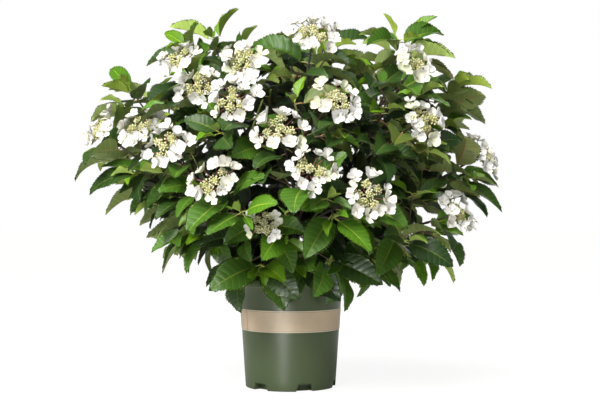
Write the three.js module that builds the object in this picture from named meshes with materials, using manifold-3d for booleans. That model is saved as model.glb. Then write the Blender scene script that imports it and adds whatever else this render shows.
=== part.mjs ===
// A lacecap hydrangea in its nursery pot: the pot with its blank label band, the potting soil, a woody stool,
// the canes that rise from the stool, and the masses of leaves and flower heads that the canes carry.
// Millimetres, +Z up. The origin is the middle of the pot's underside. An azimuth is in degrees round the
// pot's axis: 0 points to -Y, the plant's front, and 90 to +X. A reach is a distance from that axis.
import * as THREE from "three";
import { mergeVertices } from "three/addons/utils/BufferGeometryUtils.js";
import Module from "manifold-3d";

const wasm = await Module();
wasm.setup();

// ---- driving dimensions ----

const CLEAR = 0.3; // gap between neighbouring pieces
const SMALLEST = 0.3; // detail under this size is smoothed away where pieces are fused
const SEED = 2027;

const POT = {
  height: 235,
  footRadius: 98, // outside, at the ground
  neckRadius: 113, // outside, just under the lip
  lipRadius: 117,
  lipHeight: 15,
  wall: 2.4,
  floor: 3,
  sides: 36,
};
const NOTCH = { count: 6, azimuth: 19, widthDegrees: 23, height: 14, slope: 6, innerRadius: 82 };
const BAND = { low: 125, high: 171, thickness: 0.7 };
const SOIL = { top: 212, mound: 4, bottomRadius: 78, shoulderHeight: 18, sides: 24 };
const STOOL = { radius: 30, flare: 37, height: 44, sides: 12 };
const CANE = { rootRadius: 4.6, tipRadius: 3.2, rise: 0.1, pieces: 5, sides: 6 };
const CANE_FOOT = { reach: 23, lowest: 12, span: 24 };

// Where the masses' stems lead back to, and how far along that way each cane enters its mass.
const HEART = new THREE.Vector3(0, 0, 270);
const ENTRY = 0.5;

// Every mass, by where its stem ends. One that is `on` another mass has no cane of its own: its stem leaves
// that mass's cane, `from` of the way along it. A hanging mass has leaves that droop.
const MASSES = [
  { name: "left_wing", azimuth: -72, reach: 418, height: 548, blooms: 2 },
  { name: "left_shoulder", azimuth: -42, reach: 325, height: 682, blooms: 2 },
  { name: "left_front", azimuth: -38, reach: 390, height: 500, blooms: 1 },
  { name: "front_left", azimuth: -21, reach: 385, height: 436, blooms: 1 },
  { name: "front_centre", azimuth: 6, reach: 385, height: 456, blooms: 1 },
  { name: "front_upper", azimuth: -18, reach: 342, height: 594, blooms: 2 },
  { name: "crown_top", azimuth: 12, reach: 225, height: 734, blooms: 2 },
  { name: "right_shoulder", azimuth: 45, reach: 350, height: 672, blooms: 1 },
  { name: "right_wing", azimuth: 76, reach: 415, height: 500, blooms: 1 },
  { name: "right_low", azimuth: 59, reach: 392, height: 374, blooms: 1 },
  { name: "back_right", azimuth: 128, reach: 385, height: 480, blooms: 2 },
  { name: "back_left", azimuth: -128, reach: 385, height: 470, blooms: 2 },
  { name: "back_upper", azimuth: 178, reach: 320, height: 610, blooms: 2 },
  { name: "back_top", azimuth: 142, reach: 127, height: 784, blooms: 1 },
  { name: "left_skirt", on: "left_wing", from: 0.75, azimuth: -80, reach: 322, height: 458, blooms: 0 },
  { name: "lower_left", on: "left_front", from: 0.6, azimuth: -50, reach: 262, height: 340, hanging: true },
  { name: "front_low_left", on: "front_left", from: 0.75, azimuth: -8, reach: 335, height: 358, blooms: 1 },
  { name: "rim_left", on: "front_left", from: 0.45, azimuth: -16, reach: 205, height: 272, hanging: true },
  { name: "rim_right", on: "front_centre", from: 0.45, azimuth: 22, reach: 214, height: 284, hanging: true },
  { name: "front_right", on: "front_centre", from: 0.7, azimuth: 24, reach: 375, height: 410, blooms: 1 },
  { name: "front_upper_right", on: "front_upper", from: 0.75, azimuth: 15, reach: 350, height: 590, blooms: 1 },
  { name: "crown_left", on: "crown_top", from: 0.7, azimuth: -20, reach: 270, height: 676, blooms: 1 },
  { name: "top_left", on: "left_shoulder", from: 0.7, azimuth: -61, reach: 182, height: 745, blooms: 0 },
  { name: "right_upper", on: "right_shoulder", from: 0.75, azimuth: 40, reach: 400, height: 556, blooms: 1 },
  { name: "lower_right", on: "right_low", from: 0.6, azimuth: 62, reach: 310, height: 312, hanging: true },
  { name: "back_left_upper", on: "back_left", from: 0.8, azimuth: -104, reach: 370, height: 652, blooms: 0 },
  { name: "back_right_upper", on: "back_right", from: 0.8, azimuth: 101, reach: 368, height: 664, blooms: 0 },
  { name: "top_right", on: "right_shoulder", from: 0.7, azimuth: 84, reach: 258, height: 740, blooms: 0 },
  { name: "back_left_skirt", on: "back_left", from: 0.55, azimuth: -124, reach: 272, height: 348, hanging: true },
  { name: "back_right_skirt", on: "back_right", from: 0.55, azimuth: 118, reach: 310, height: 325, hanging: true },
  { name: "back_middle", on: "back_upper", from: 0.7, azimuth: 172, reach: 370, height: 430, blooms: 2 },
  { name: "back_rim", on: "back_upper", from: 0.35, azimuth: -172, reach: 225, height: 270, hanging: true },
  { name: "front_middle", on: "front_centre", from: 0.85, azimuth: -3, reach: 345, height: 536, blooms: 1 },
];

const SPINE = {
  rootRadius: 3.1,
  tipRadius: 1.9,
  nodeGap: 44,
  mostNodes: 5,
  peduncle: 62,
  pieces: 4,
  sides: 3,
};
const SHOOT = { rootRadius: 2.4, tipRadius: 1.6, length: 72, angle: 55, lift: 0.25, pieces: 1, sides: 3 };
const NODES = [0.5, 0.92, 1]; // where a side shoot's leaf pairs and its flower head stand
const LEAF = {
  length: 104,
  widthShare: 0.6,
  stalk: 16,
  angle: 62, // degrees between the stalk and its shoot
  youngAngle: 30, // of the pair that ends a shoot without a flower head
  wander: 36, // degrees that a leaf may stand aside of its pair's line
  roll: 1.3,
  level: 0.5, // share of the stalk's slope that the blade gives up
  spread: 0.15, // how far the blade turns outwards
  keel: 4,
  widest: 0.4,
  tipDrop: 0.1,
};
const BLOOM = { florets: 6, reach: 47, notchReach: 25, domeReach: 20, domeHeight: 10, depth: 12, droop: 8 };

// ---- small tools ----

const UP = new THREE.Vector3(0, 0, 1);
const LIGHT = new THREE.Vector3(0, -1, 0); // where the flower heads turn to
const radians = THREE.MathUtils.degToRad;

// A repeatable number from 0 to 1 for each set of whole numbers.
function vary(...keys) {
  let mixed = SEED;
  for (const key of keys) {
    mixed = Math.imul(mixed ^ key, 0x9e3779b1) >>> 0;
    mixed = (mixed ^ (mixed >>> 15)) >>> 0;
  }
  mixed = Math.imul(mixed, 0x85ebca6b) >>> 0;
  return ((mixed ^ (mixed >>> 13)) >>> 0) / 2 ** 32;
}

function polar(azimuth, reach, height) {
  const turn = radians(azimuth);
  return new THREE.Vector3(reach * Math.sin(turn), -reach * Math.cos(turn), height);
}

// The sum of vectors, each given with its share.
function blend(...pairs) {
  const sum = new THREE.Vector3();
  for (const [vector, share] of pairs) sum.addScaledVector(vector, share);
  return sum;
}

function unit(...pairs) {
  return blend(...pairs).normalize();
}

// The direction square to `along`, turned by an angle from the highest one.
function lateral(along, degrees) {
  const level = new THREE.Vector3().crossVectors(along, UP);
  const side = level.lengthSq() > 1e-4 ? level.normalize() : new THREE.Vector3(1, 0, 0);
  const top = new THREE.Vector3().crossVectors(side, along).normalize();
  return unit([top, Math.cos(radians(degrees))], [side, Math.sin(radians(degrees))]);
}

// ---- how the plant grows ----

// A shoot is a curve with a radius at each end. `tangent` and `point` read it by the share of its way.
function shootAlong(start, bend, tip, rootRadius, tipRadius) {
  const curve = new THREE.QuadraticBezierCurve3(start, bend, tip);
  return {
    length: start.distanceTo(tip),
    point: (share) => curve.getPoint(share),
    tangent: (share) =>
      unit([blend([bend, 1], [start, -1]), 1 - share], [blend([tip, 1], [bend, -1]), share]),
    radius: (share) => rootRadius + (tipRadius - rootRadius) * share,
  };
}

// The canes, by the name of the mass that each one's tip enters. Their feet are spaced evenly round the
// stool, in the order of their azimuths, and the steeper ones stand higher on it.
function growCanes() {
  const bearers = MASSES.filter((mass) => !mass.on).sort((a, b) => a.azimuth - b.azimuth);
  const step = 360 / bearers.length;
  const offset = bearers.reduce((sum, { azimuth }, k) => sum + azimuth - step * k, 0) / bearers.length;
  return new Map(bearers.map((mass, k) => [mass.name, caneOf(mass, offset + step * k)]));
}

function caneOf(mass, footAzimuth) {
  const tip = polar(mass.azimuth, mass.reach, mass.height);
  const end = HEART.clone().lerp(tip, ENTRY);
  const slope = Math.atan2(end.z - SOIL.top, Math.hypot(end.x, end.y));
  const footHeight = SOIL.top + CANE_FOOT.lowest + CANE_FOOT.span * Math.sin(slope);
  const start = polar(footAzimuth, CANE_FOOT.reach, footHeight);
  const bend = start.clone().lerp(end, 0.5).addScaledVector(UP, CANE.rise * start.distanceTo(end));
  return shootAlong(start, bend, end, CANE.rootRadius, CANE.tipRadius);
}

// A mass's stem, from its cane's tip or side to the place that MASSES gives.
function spineOf(mass, canes) {
  const tip = polar(mass.azimuth, mass.reach, mass.height);
  const cane = canes.get(mass.on ?? mass.name);
  const leaves = mass.on ? mass.from : 1;
  const along = cane.tangent(leaves);
  const start = cane.point(leaves).addScaledVector(along, mass.on ? 0 : CLEAR);
  const way = blend([tip, 1], [start, -1]);
  const first = mass.on ? unit([along, 0.35], [way.clone().normalize(), 0.65]) : along;
  const bend = start.clone().addScaledVector(first, way.length() * 0.5);
  return shootAlong(start, bend, tip, SPINE.rootRadius, SPINE.tipRadius);
}

// A leaf stands off its shoot, then turns its blade more level than its stalk and its face up and outwards.
function leafOn(shoot, share, { turn, angle, length, droop, roll }) {
  const along = shoot.tangent(share);
  const root = shoot.point(share);
  const out = unit([new THREE.Vector3(root.x, root.y, 0), 1]);
  const round = new THREE.Vector3().crossVectors(UP, out);
  const stalk = unit([along, Math.cos(radians(angle))], [lateral(along, turn), Math.sin(radians(angle))]);
  const blade = unit([stalk, 1], [UP, -droop - LEAF.level * stalk.z], [out, LEAF.spread]);
  const facing = unit([along, 0.3], [UP, 0.75], [out, 0.7], [round, roll]);
  const face = unit([facing, 1], [blade, -facing.dot(blade)]);
  return { root, blade, face, length };
}

// A flower head faces up and outwards, and turns a little to the light at the front.
function bloomOn(shoot) {
  const tip = shoot.point(1);
  const out = unit([new THREE.Vector3(tip.x, tip.y, 0), 1]);
  return { centre: tip, axis: unit([shoot.tangent(1), 0.45], [UP, 0.5], [out, 0.6], [LIGHT, 0.3]) };
}

// The side shoot that leaves a spine's node to one side.
function sideShoot(spine, share, turn, stretch) {
  const along = spine.tangent(share);
  const start = spine.point(share);
  const angle = radians(SHOOT.angle);
  const way = blend([along, Math.cos(angle)], [lateral(along, turn), Math.sin(angle)], [UP, SHOOT.lift]);
  const tip = start.clone().addScaledVector(way, SHOOT.length * stretch);
  return shootAlong(start, start.clone().lerp(tip, 0.5), tip, SHOOT.rootRadius, SHOOT.tipRadius);
}

// Everything that one mass is made of: its stem, its side shoots, its leaves and its flower heads. Leaves
// stand in pairs, each pair square to the one below. The highest side shoots flower, after the stem's own tip.
function growMass(mass, index, canes) {
  const spine = spineOf(mass, canes);
  const grown = { spine, shoots: [], leaves: [], blooms: [] };
  const blooms = mass.blooms ?? 0;
  const droop = mass.hanging ? 0.45 : 0.12;
  const last = blooms ? 1 - SPINE.peduncle / spine.length : 0.94;
  const nodes = THREE.MathUtils.clamp(Math.round((spine.length * last) / SPINE.nodeGap), 2, SPINE.mostNodes);
  const first = Math.max(0, 1 - ((nodes + 1) * SPINE.nodeGap) / (spine.length * last)) * last;
  const pair = (shoot, share, turn, size, angle, ...keys) => {
    for (const side of [0, 1]) {
      const chance = (trait) => vary(index, ...keys, side, trait);
      const wander = (chance(1) - 0.5) * LEAF.wander;
      const length = LEAF.length * size * (0.82 + 0.36 * chance(2));
      const roll = (chance(7) - 0.5) * LEAF.roll;
      const facing = turn + 180 * side + wander;
      grown.leaves.push(leafOn(shoot, share, { turn: facing, angle, length, droop, roll }));
    }
  };
  for (let node = 1; node <= nodes; node++) {
    const share = first + ((last - first) * node) / nodes;
    const turn = 45 + 90 * node + (vary(index, node, 3) - 0.5) * 30;
    if (node === nodes) {
      pair(spine, share, turn, 1, LEAF.angle, node);
      continue;
    }
    for (const side of [0, 1]) {
      const stretch = (1.15 - 0.35 * share) * (0.8 + 0.4 * vary(index, node, side, 4));
      grown.shoots.push({ ...sideShoot(spine, share, turn + 180 * side, stretch), node, side, turn });
    }
  }
  const score = ({ point }) => point(1).z + 0.6 * Math.hypot(point(1).x, point(1).y);
  grown.shoots.sort((a, b) => score(b) - score(a));
  grown.shoots.forEach((shoot, rank) => {
    shoot.flowers = rank < blooms - 1;
    pair(shoot, NODES[0], shoot.turn, 0.95, LEAF.angle, shoot.node, shoot.side, 5);
    if (shoot.flowers) grown.blooms.push(bloomOn(shoot));
    else pair(shoot, NODES[1], shoot.turn + 90, 0.9, LEAF.angle, shoot.node, shoot.side, 6);
  });
  if (blooms) grown.blooms.push(bloomOn(spine));
  else pair(spine, 0.99, 45 + 90 * (nodes + 1), 0.8, mass.hanging ? LEAF.angle : LEAF.youngAngle, nodes + 1);
  return grown;
}

// ---- solids ----

function solidFrom(geometry) {
  const flat = geometry.index ? geometry.toNonIndexed() : geometry;
  const bare = new THREE.BufferGeometry().setAttribute("position", flat.getAttribute("position"));
  const merged = mergeVertices(bare, 1e-3);
  const vertProperties = merged.attributes.position.array;
  const triVerts = new Uint32Array(merged.index.array);
  return new wasm.Manifold(new wasm.Mesh({ numProp: 3, vertProperties, triVerts }));
}

function geometryFrom(solid) {
  const mesh = solid.getMesh();
  const geometry = new THREE.BufferGeometry();
  geometry.setAttribute("position", new THREE.BufferAttribute(mesh.vertProperties, 3));
  geometry.setIndex(new THREE.BufferAttribute(mesh.triVerts, 1));
  return geometry;
}

function closedGeometry(points, faces) {
  const geometry = new THREE.BufferGeometry();
  const positions = new Float32Array(points.flatMap((point) => point.toArray()));
  geometry.setAttribute("position", new THREE.BufferAttribute(positions, 3));
  geometry.setIndex(faces.flat());
  return geometry;
}

// A tapering limb with flat ends, its rings carried along the shoot without twist. `grow` thickens it.
function limbSolid(shoot, pieces, sides, grow = 0) {
  const points = [];
  const faces = [];
  let normal = lateral(shoot.tangent(0), 0);
  for (let ring = 0; ring <= pieces; ring++) {
    const share = ring / pieces;
    const along = shoot.tangent(share);
    const middle = shoot.point(share);
    const reach = shoot.radius(share) + grow;
    normal = unit([normal, 1], [along, -normal.dot(along)]);
    const across = new THREE.Vector3().crossVectors(along, normal);
    for (let k = 0; k < sides; k++) {
      const turn = (2 * Math.PI * k) / sides;
      points.push(blend([middle, 1], [normal, reach * Math.cos(turn)], [across, reach * Math.sin(turn)]));
    }
  }
  for (let ring = 0; ring < pieces; ring++) {
    for (let k = 0; k < sides; k++) {
      const [a, b] = [ring * sides + k, ring * sides + ((k + 1) % sides)];
      faces.push([a, b, b + sides], [a, b + sides, a + sides]);
    }
  }
  const top = pieces * sides;
  for (let k = 1; k < sides - 1; k++) faces.push([0, k + 1, k], [top, top + k, top + k + 1]);
  return solidFrom(closedGeometry(points, faces));
}

// The corners of a leaf: its stalk and blade are one rhomb that starts on the twig's axis, with its midrib
// under it.
function leafCorners({ root, blade, face, length }) {
  const side = new THREE.Vector3().crossVectors(face, blade);
  const widest = root.clone().addScaledVector(blade, LEAF.stalk + length * LEAF.widest);
  const half = (length * LEAF.widthShare) / 2;
  const tip = blend([root, 1], [blade, LEAF.stalk + length], [UP, -LEAF.tipDrop * length]);
  const right = widest.clone().addScaledVector(side, -half);
  const left = widest.clone().addScaledVector(side, half);
  return { root, right, tip, left, under: root.clone().lerp(tip, 0.3).addScaledVector(face, -LEAF.keel) };
}

function leafSolid(leaf) {
  const { root, right, tip, left, under } = leafCorners(leaf);
  const faces = [[0, 1, 3], [2, 3, 1], [1, 0, 4], [2, 1, 4], [3, 2, 4], [0, 3, 4]];
  return solidFrom(closedGeometry([root, right, tip, left, under], faces));
}

// A flower head: a low dome of fertile buds inside a drooping ring of wide florets, with a notch after each
// one.
function bloomSolid({ centre, axis }) {
  const first = lateral(axis, 0);
  const second = new THREE.Vector3().crossVectors(axis, first);
  const step = (2 * Math.PI) / BLOOM.florets;
  const round = (turn, reach, rise) =>
    blend([centre, 1], [first, reach * Math.cos(turn)], [second, reach * Math.sin(turn)], [axis, rise]);
  const points = [round(0, 0, BLOOM.domeHeight), round(0, 0, -BLOOM.depth)];
  const faces = [];
  for (let k = 0; k < BLOOM.florets; k++) {
    const [dome, notch, right, left] = [0, 1, 2, 3].map((corner) => 2 + 4 * k + corner);
    const [nextDome, nextNotch] = [0, 1].map((corner) => 2 + 4 * ((k + 1) % BLOOM.florets) + corner);
    points.push(round(step * (k + 0.5), BLOOM.domeReach, BLOOM.domeHeight * 0.6));
    points.push(round(step * k, BLOOM.notchReach, 0));
    points.push(round(step * (k + 0.22), BLOOM.reach, -BLOOM.droop));
    points.push(round(step * (k + 0.78), BLOOM.reach, -BLOOM.droop));
    faces.push([0, dome, nextDome], [dome, notch, right], [dome, right, left], [dome, left, nextNotch]);
    faces.push([dome, nextNotch, nextDome], [1, right, notch], [1, left, right], [1, nextNotch, left]);
  }
  return solidFrom(closedGeometry(points, faces));
}

// The lines that stand for a flower head: one from its middle through each floret.
function bloomLines({ centre, axis }) {
  const first = lateral(axis, 0);
  const second = new THREE.Vector3().crossVectors(axis, first);
  return Array.from({ length: 8 }, (_, k) => {
    const turn = (Math.PI * k) / 4;
    const [wide, deep] = [BLOOM.reach * Math.cos(turn), BLOOM.reach * Math.sin(turn)];
    return { ends: [centre, blend([centre, 1], [first, wide], [second, deep])], radius: 7 };
  });
}

// ---- what a mass has to keep clear of ----

// The shortest way between two straight stretches, each given by its two ends.
function stretchGap([a, b], [c, d]) {
  const [u, v, w] = [blend([b, 1], [a, -1]), blend([d, 1], [c, -1]), blend([a, 1], [c, -1])];
  const [uu, uv, vv, uw, vw] = [u.dot(u), u.dot(v), v.dot(v), u.dot(w), v.dot(w)];
  const spread = uu * vv - uv * uv;
  const clamp = (share) => Math.min(1, Math.max(0, share));
  let s = spread > 1e-9 ? clamp((uv * vw - vv * uw) / spread) : 0;
  const t = clamp((uv * s + vw) / vv);
  s = clamp((uv * t - uw) / uu);
  return blend([w, 1], [u, s], [v, -t]).length();
}

function stretches(shoot, pieces) {
  const points = Array.from({ length: pieces + 1 }, (_, k) => shoot.point(k / pieces));
  return points.slice(1).map((point, k) => ({ ends: [points[k], point], radius: shoot.radius(k / pieces) }));
}

// The lines that stand for a blade: five run from its root across its widest part to its tip.
function bladeLines({ root, right, tip, left }) {
  return [0.04, 0.27, 0.5, 0.73, 0.96].flatMap((share) => {
    const across = left.clone().lerp(right, share);
    return [[root, across], [across, tip]];
  });
}

// A mass owns the space nearer to its own middle than to any other mass's.
function inOwnSpace(point, index, middles) {
  const own = middles[index];
  const toOwn = point.distanceToSquared(own);
  return middles.every((other, k) => {
    if (k === index) return true;
    return (point.distanceToSquared(other) - toOwn) / (2 * own.distanceTo(other)) > 0.6;
  });
}

function clearOfPot(point) {
  return point.z > POT.height + 2 || Math.hypot(point.x, point.y) > POT.lipRadius + 2;
}

function keepsClear(lines, reach, limbs) {
  return limbs.every(({ ends, radius }) => lines.every((line) => stretchGap(line, ends) > radius + reach));
}

function fits(corners, lines, reach, index, middles, limbs) {
  const spots = lines.flatMap(([a, b]) => [0.25, 0.5, 0.75].map((share) => a.clone().lerp(b, share)));
  return (
    corners.every((corner) => inOwnSpace(corner, index, middles)) &&
    [...corners, ...spots].every(clearOfPot) &&
    keepsClear(lines, reach, limbs)
  );
}

// The solid of one mass. A side shoot that doesn't fit goes with its leaves, and a leaf is tried smaller
// first.
function massSolid(grown, index, middles, limbs, cane) {
  const kept = [limbSolid(grown.spine, SPINE.pieces, SPINE.sides)];
  const taken = stretches(grown.spine, SPINE.pieces);
  const bare = [];
  for (const shoot of grown.shoots) {
    const lines = stretches(shoot, SHOOT.pieces).map(({ ends }) => ends);
    if (!fits([shoot.point(1)], lines, 4, index, middles, limbs)) {
      bare.push(shoot);
      continue;
    }
    kept.push(limbSolid(shoot, SHOOT.pieces, SHOOT.sides));
    taken.push(...stretches(shoot, SHOOT.pieces));
  }
  const lostPlaces = bare.flatMap((shoot) => NODES.map((share) => shoot.point(share)));
  const lost = (root) => lostPlaces.some((place) => place.distanceTo(root) < 0.01);
  const tip = grown.spine.point(1);
  for (const bloom of grown.blooms) {
    const rim = bloomLines(bloom).map(({ ends }) => ends[1]);
    const onSide = bloom.centre.distanceTo(tip) > 1;
    if (onSide && (lost(bloom.centre) || !rim.every((point) => inOwnSpace(point, index, middles)))) continue;
    kept.push(bloomSolid(bloom));
    taken.push(...bloomLines(bloom));
  }
  for (const leaf of grown.leaves) {
    if (lost(leaf.root)) continue;
    for (const scale of [1, 0.84, 0.68]) {
      const tried = { ...leaf, length: leaf.length * scale };
      const corners = leafCorners(tried);
      const lines = bladeLines(corners);
      if (!fits([corners.right, corners.tip, corners.left], lines, 6, index, middles, limbs)) continue;
      const blade = lines.map(([a, b], k) => (k % 2 ? [a, b] : [a.clone().lerp(b, 0.35), b]));
      if (!keepsClear(blade, 2, taken)) continue;
      kept.push(leafSolid(tried));
      taken.push(...blade.map((ends) => ({ ends, radius: 3 })));
      break;
    }
  }
  let solid = wasm.Manifold.union(kept);
  if (cane) solid = solid.subtract(cane);
  const bodies = solid.simplify(SMALLEST).decompose().sort((a, b) => b.volume() - a.volume());
  return bodies[0];
}

// ---- pot, soil and stool ----

function lathe(profile, sides) {
  const geometry = new THREE.LatheGeometry(profile.map(([r, z]) => new THREE.Vector2(r, z)), sides);
  return geometry.rotateX(Math.PI / 2);
}

// The pot's outside radius at a height under the lip.
function wallRadius(height) {
  return POT.footRadius + ((POT.neckRadius - POT.footRadius) * height) / (POT.height - POT.lipHeight);
}

function notchSolid(azimuth) {
  const half = radians(NOTCH.widthDegrees / 2) * POT.footRadius;
  const outline = new THREE.Shape([
    new THREE.Vector2(-half, -1),
    new THREE.Vector2(half, -1),
    new THREE.Vector2(half - NOTCH.slope, NOTCH.height),
    new THREE.Vector2(NOTCH.slope - half, NOTCH.height),
  ]);
  const geometry = new THREE.ExtrudeGeometry(outline, { depth: 30, bevelEnabled: false });
  geometry.rotateX(Math.PI / 2).translate(0, -NOTCH.innerRadius, 0).rotateZ(radians(azimuth));
  return solidFrom(geometry);
}

function potSolid() {
  const shoulder = POT.height - POT.lipHeight;
  const shell = lathe(
    [
      [0, 0],
      [POT.footRadius, 0],
      [wallRadius(shoulder), shoulder],
      [POT.lipRadius, shoulder],
      [POT.lipRadius, POT.height],
      [wallRadius(POT.height) - POT.wall, POT.height],
      [wallRadius(POT.floor) - POT.wall, POT.floor],
      [0, POT.floor],
    ],
    POT.sides,
  );
  const azimuths = Array.from({ length: NOTCH.count }, (_, k) => NOTCH.azimuth + (360 * k) / NOTCH.count);
  const notches = azimuths.map(notchSolid);
  return solidFrom(shell).subtract(wasm.Manifold.union(notches));
}

function bandGeometry() {
  const inner = (height) => wallRadius(height) + CLEAR;
  return lathe(
    [
      [inner(BAND.low), BAND.low],
      [inner(BAND.low) + BAND.thickness, BAND.low],
      [inner(BAND.high) + BAND.thickness, BAND.high],
      [inner(BAND.high), BAND.high],
      [inner(BAND.low), BAND.low],
    ],
    POT.sides,
  );
}

function soilGeometry() {
  const inner = (height) => wallRadius(height) - POT.wall - 2 * CLEAR;
  return lathe(
    [
      [0, POT.floor + CLEAR],
      [SOIL.bottomRadius, POT.floor + CLEAR],
      [inner(SOIL.shoulderHeight), SOIL.shoulderHeight],
      [inner(SOIL.top - SOIL.mound), SOIL.top - SOIL.mound],
      [STOOL.flare * 1.6, SOIL.top],
      [0, SOIL.top],
    ],
    SOIL.sides,
  );
}

function stoolSolid(grow = 0) {
  const foot = SOIL.top + CLEAR;
  return solidFrom(
    lathe(
      [
        [0, foot],
        [STOOL.flare + grow, foot],
        [STOOL.radius + grow, foot + STOOL.height * 0.35],
        [STOOL.radius * 0.9 + grow, foot + STOOL.height * 0.75 + grow],
        [STOOL.radius * 0.45 + grow, foot + STOOL.height + grow],
        [0, foot + STOOL.height + grow],
      ],
      STOOL.sides,
    ),
  );
}

// ---- the plant ----

const MATERIALS = {
  pot: new THREE.MeshStandardMaterial({ color: "#56614a", roughness: 0.45, metalness: 0 }),
  band: new THREE.MeshStandardMaterial({ color: "#cdb9a0", roughness: 0.5, metalness: 0 }),
  soil: new THREE.MeshStandardMaterial({ color: "#2d2119", roughness: 1, metalness: 0 }),
  bark: new THREE.MeshStandardMaterial({ color: "#2f2229", roughness: 0.7, metalness: 0 }),
  foliage: new THREE.MeshStandardMaterial({ color: "#3d5a2c", roughness: 0.55, metalness: 0 }),
};

const plant = new THREE.Group();

function addNode(name, geometry, material) {
  const mesh = new THREE.Mesh(geometry, material);
  mesh.name = name;
  plant.add(mesh);
}

function buildPot() {
  addNode("pot", geometryFrom(potSolid()), MATERIALS.pot);
  addNode("label_band", bandGeometry(), MATERIALS.band);
  addNode("soil", soilGeometry(), MATERIALS.soil);
  addNode("stool", geometryFrom(stoolSolid()), MATERIALS.bark);
}

function buildCanes(canes) {
  const stool = stoolSolid(CLEAR);
  for (const [name, cane] of canes) {
    const solid = limbSolid(cane, CANE.pieces, CANE.sides).subtract(stool);
    const bodies = solid.decompose().sort((a, b) => b.volume() - a.volume());
    addNode(`cane_${name}`, geometryFrom(bodies[0]), MATERIALS.bark);
  }
}

function buildMasses(canes) {
  const grown = MASSES.map((mass, index) => growMass(mass, index, canes));
  const middles = grown.map(({ spine }) => spine.point(0.6));
  const caneStretches = [...canes.values()].flatMap((cane) => stretches(cane, CANE.pieces));
  MASSES.forEach((mass, index) => {
    const others = grown.filter((_, k) => k !== index);
    const otherSpines = others.flatMap(({ spine }) => stretches(spine, SPINE.pieces));
    const flowering = others.filter(({ blooms }) => blooms.length);
    const otherTips = flowering.flatMap(({ spine }) => bloomLines(bloomOn(spine)));
    const cane = mass.on && limbSolid(canes.get(mass.on), CANE.pieces, CANE.sides, CLEAR);
    const limbs = [...caneStretches, ...otherSpines, ...otherTips];
    const solid = massSolid(grown[index], index, middles, limbs, cane);
    addNode(`mass_${mass.name}`, geometryFrom(solid), MATERIALS.foliage);
  });
}

const canes = growCanes();
buildPot();
buildCanes(canes);
buildMasses(canes);

export default plant;
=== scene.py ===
"""The looks of a lacecap hydrangea in its nursery pot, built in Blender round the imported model.

The plant grows here by the same rule as its solids: canes rise from a stool, each mass has one stem with side
shoots, and leaves stand in pairs. The rule then goes on to finer twigs, young tips, veined leaves and whole
flower heads. Growth is worked out in millimetres, and meshes are made in metres.
An azimuth is in degrees round the pot's axis: 0 points to -Y, the plant's front, and 90 to +X.
"""

import math
from collections import namedtuple
from types import SimpleNamespace as Sizes

import bmesh
import bpy
import numpy as np
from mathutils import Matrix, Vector


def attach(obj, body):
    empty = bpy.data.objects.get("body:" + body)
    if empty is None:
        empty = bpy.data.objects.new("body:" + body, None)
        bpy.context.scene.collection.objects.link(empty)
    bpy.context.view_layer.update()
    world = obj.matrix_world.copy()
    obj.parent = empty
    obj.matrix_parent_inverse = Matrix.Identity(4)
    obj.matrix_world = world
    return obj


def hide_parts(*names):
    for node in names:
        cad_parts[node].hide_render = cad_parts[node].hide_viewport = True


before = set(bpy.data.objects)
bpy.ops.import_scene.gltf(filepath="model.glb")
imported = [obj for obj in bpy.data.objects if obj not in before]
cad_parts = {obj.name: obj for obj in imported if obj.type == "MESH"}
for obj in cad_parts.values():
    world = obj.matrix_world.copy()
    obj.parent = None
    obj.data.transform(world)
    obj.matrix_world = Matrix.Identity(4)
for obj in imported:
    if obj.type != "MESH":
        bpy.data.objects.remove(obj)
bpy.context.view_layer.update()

MM = 0.001
BODY = "root"

# ---- sizes shared with the solids, in millimetres ----

CLEAR = 0.3
SEED = 2027
MASK = 0xFFFFFFFF

POT = Sizes(height=235, foot_radius=98, neck_radius=113, lip_radius=117, lip_height=15, wall=2.4)
NOTCH = Sizes(count=6, azimuth=19, width_degrees=23, height=14, slope=6, inner_radius=82)
BAND = Sizes(low=125, high=171, thickness=0.7)
SOIL = Sizes(top=212, mound=4)
STOOL = Sizes(radius=30, flare=37)
CANE = Sizes(root_radius=4.6, tip_radius=3.2, rise=0.1)
CANE_FOOT = Sizes(reach=23, lowest=12, span=24)
HEART = np.array([0.0, 0.0, 270.0])
ENTRY = 0.5

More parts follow.
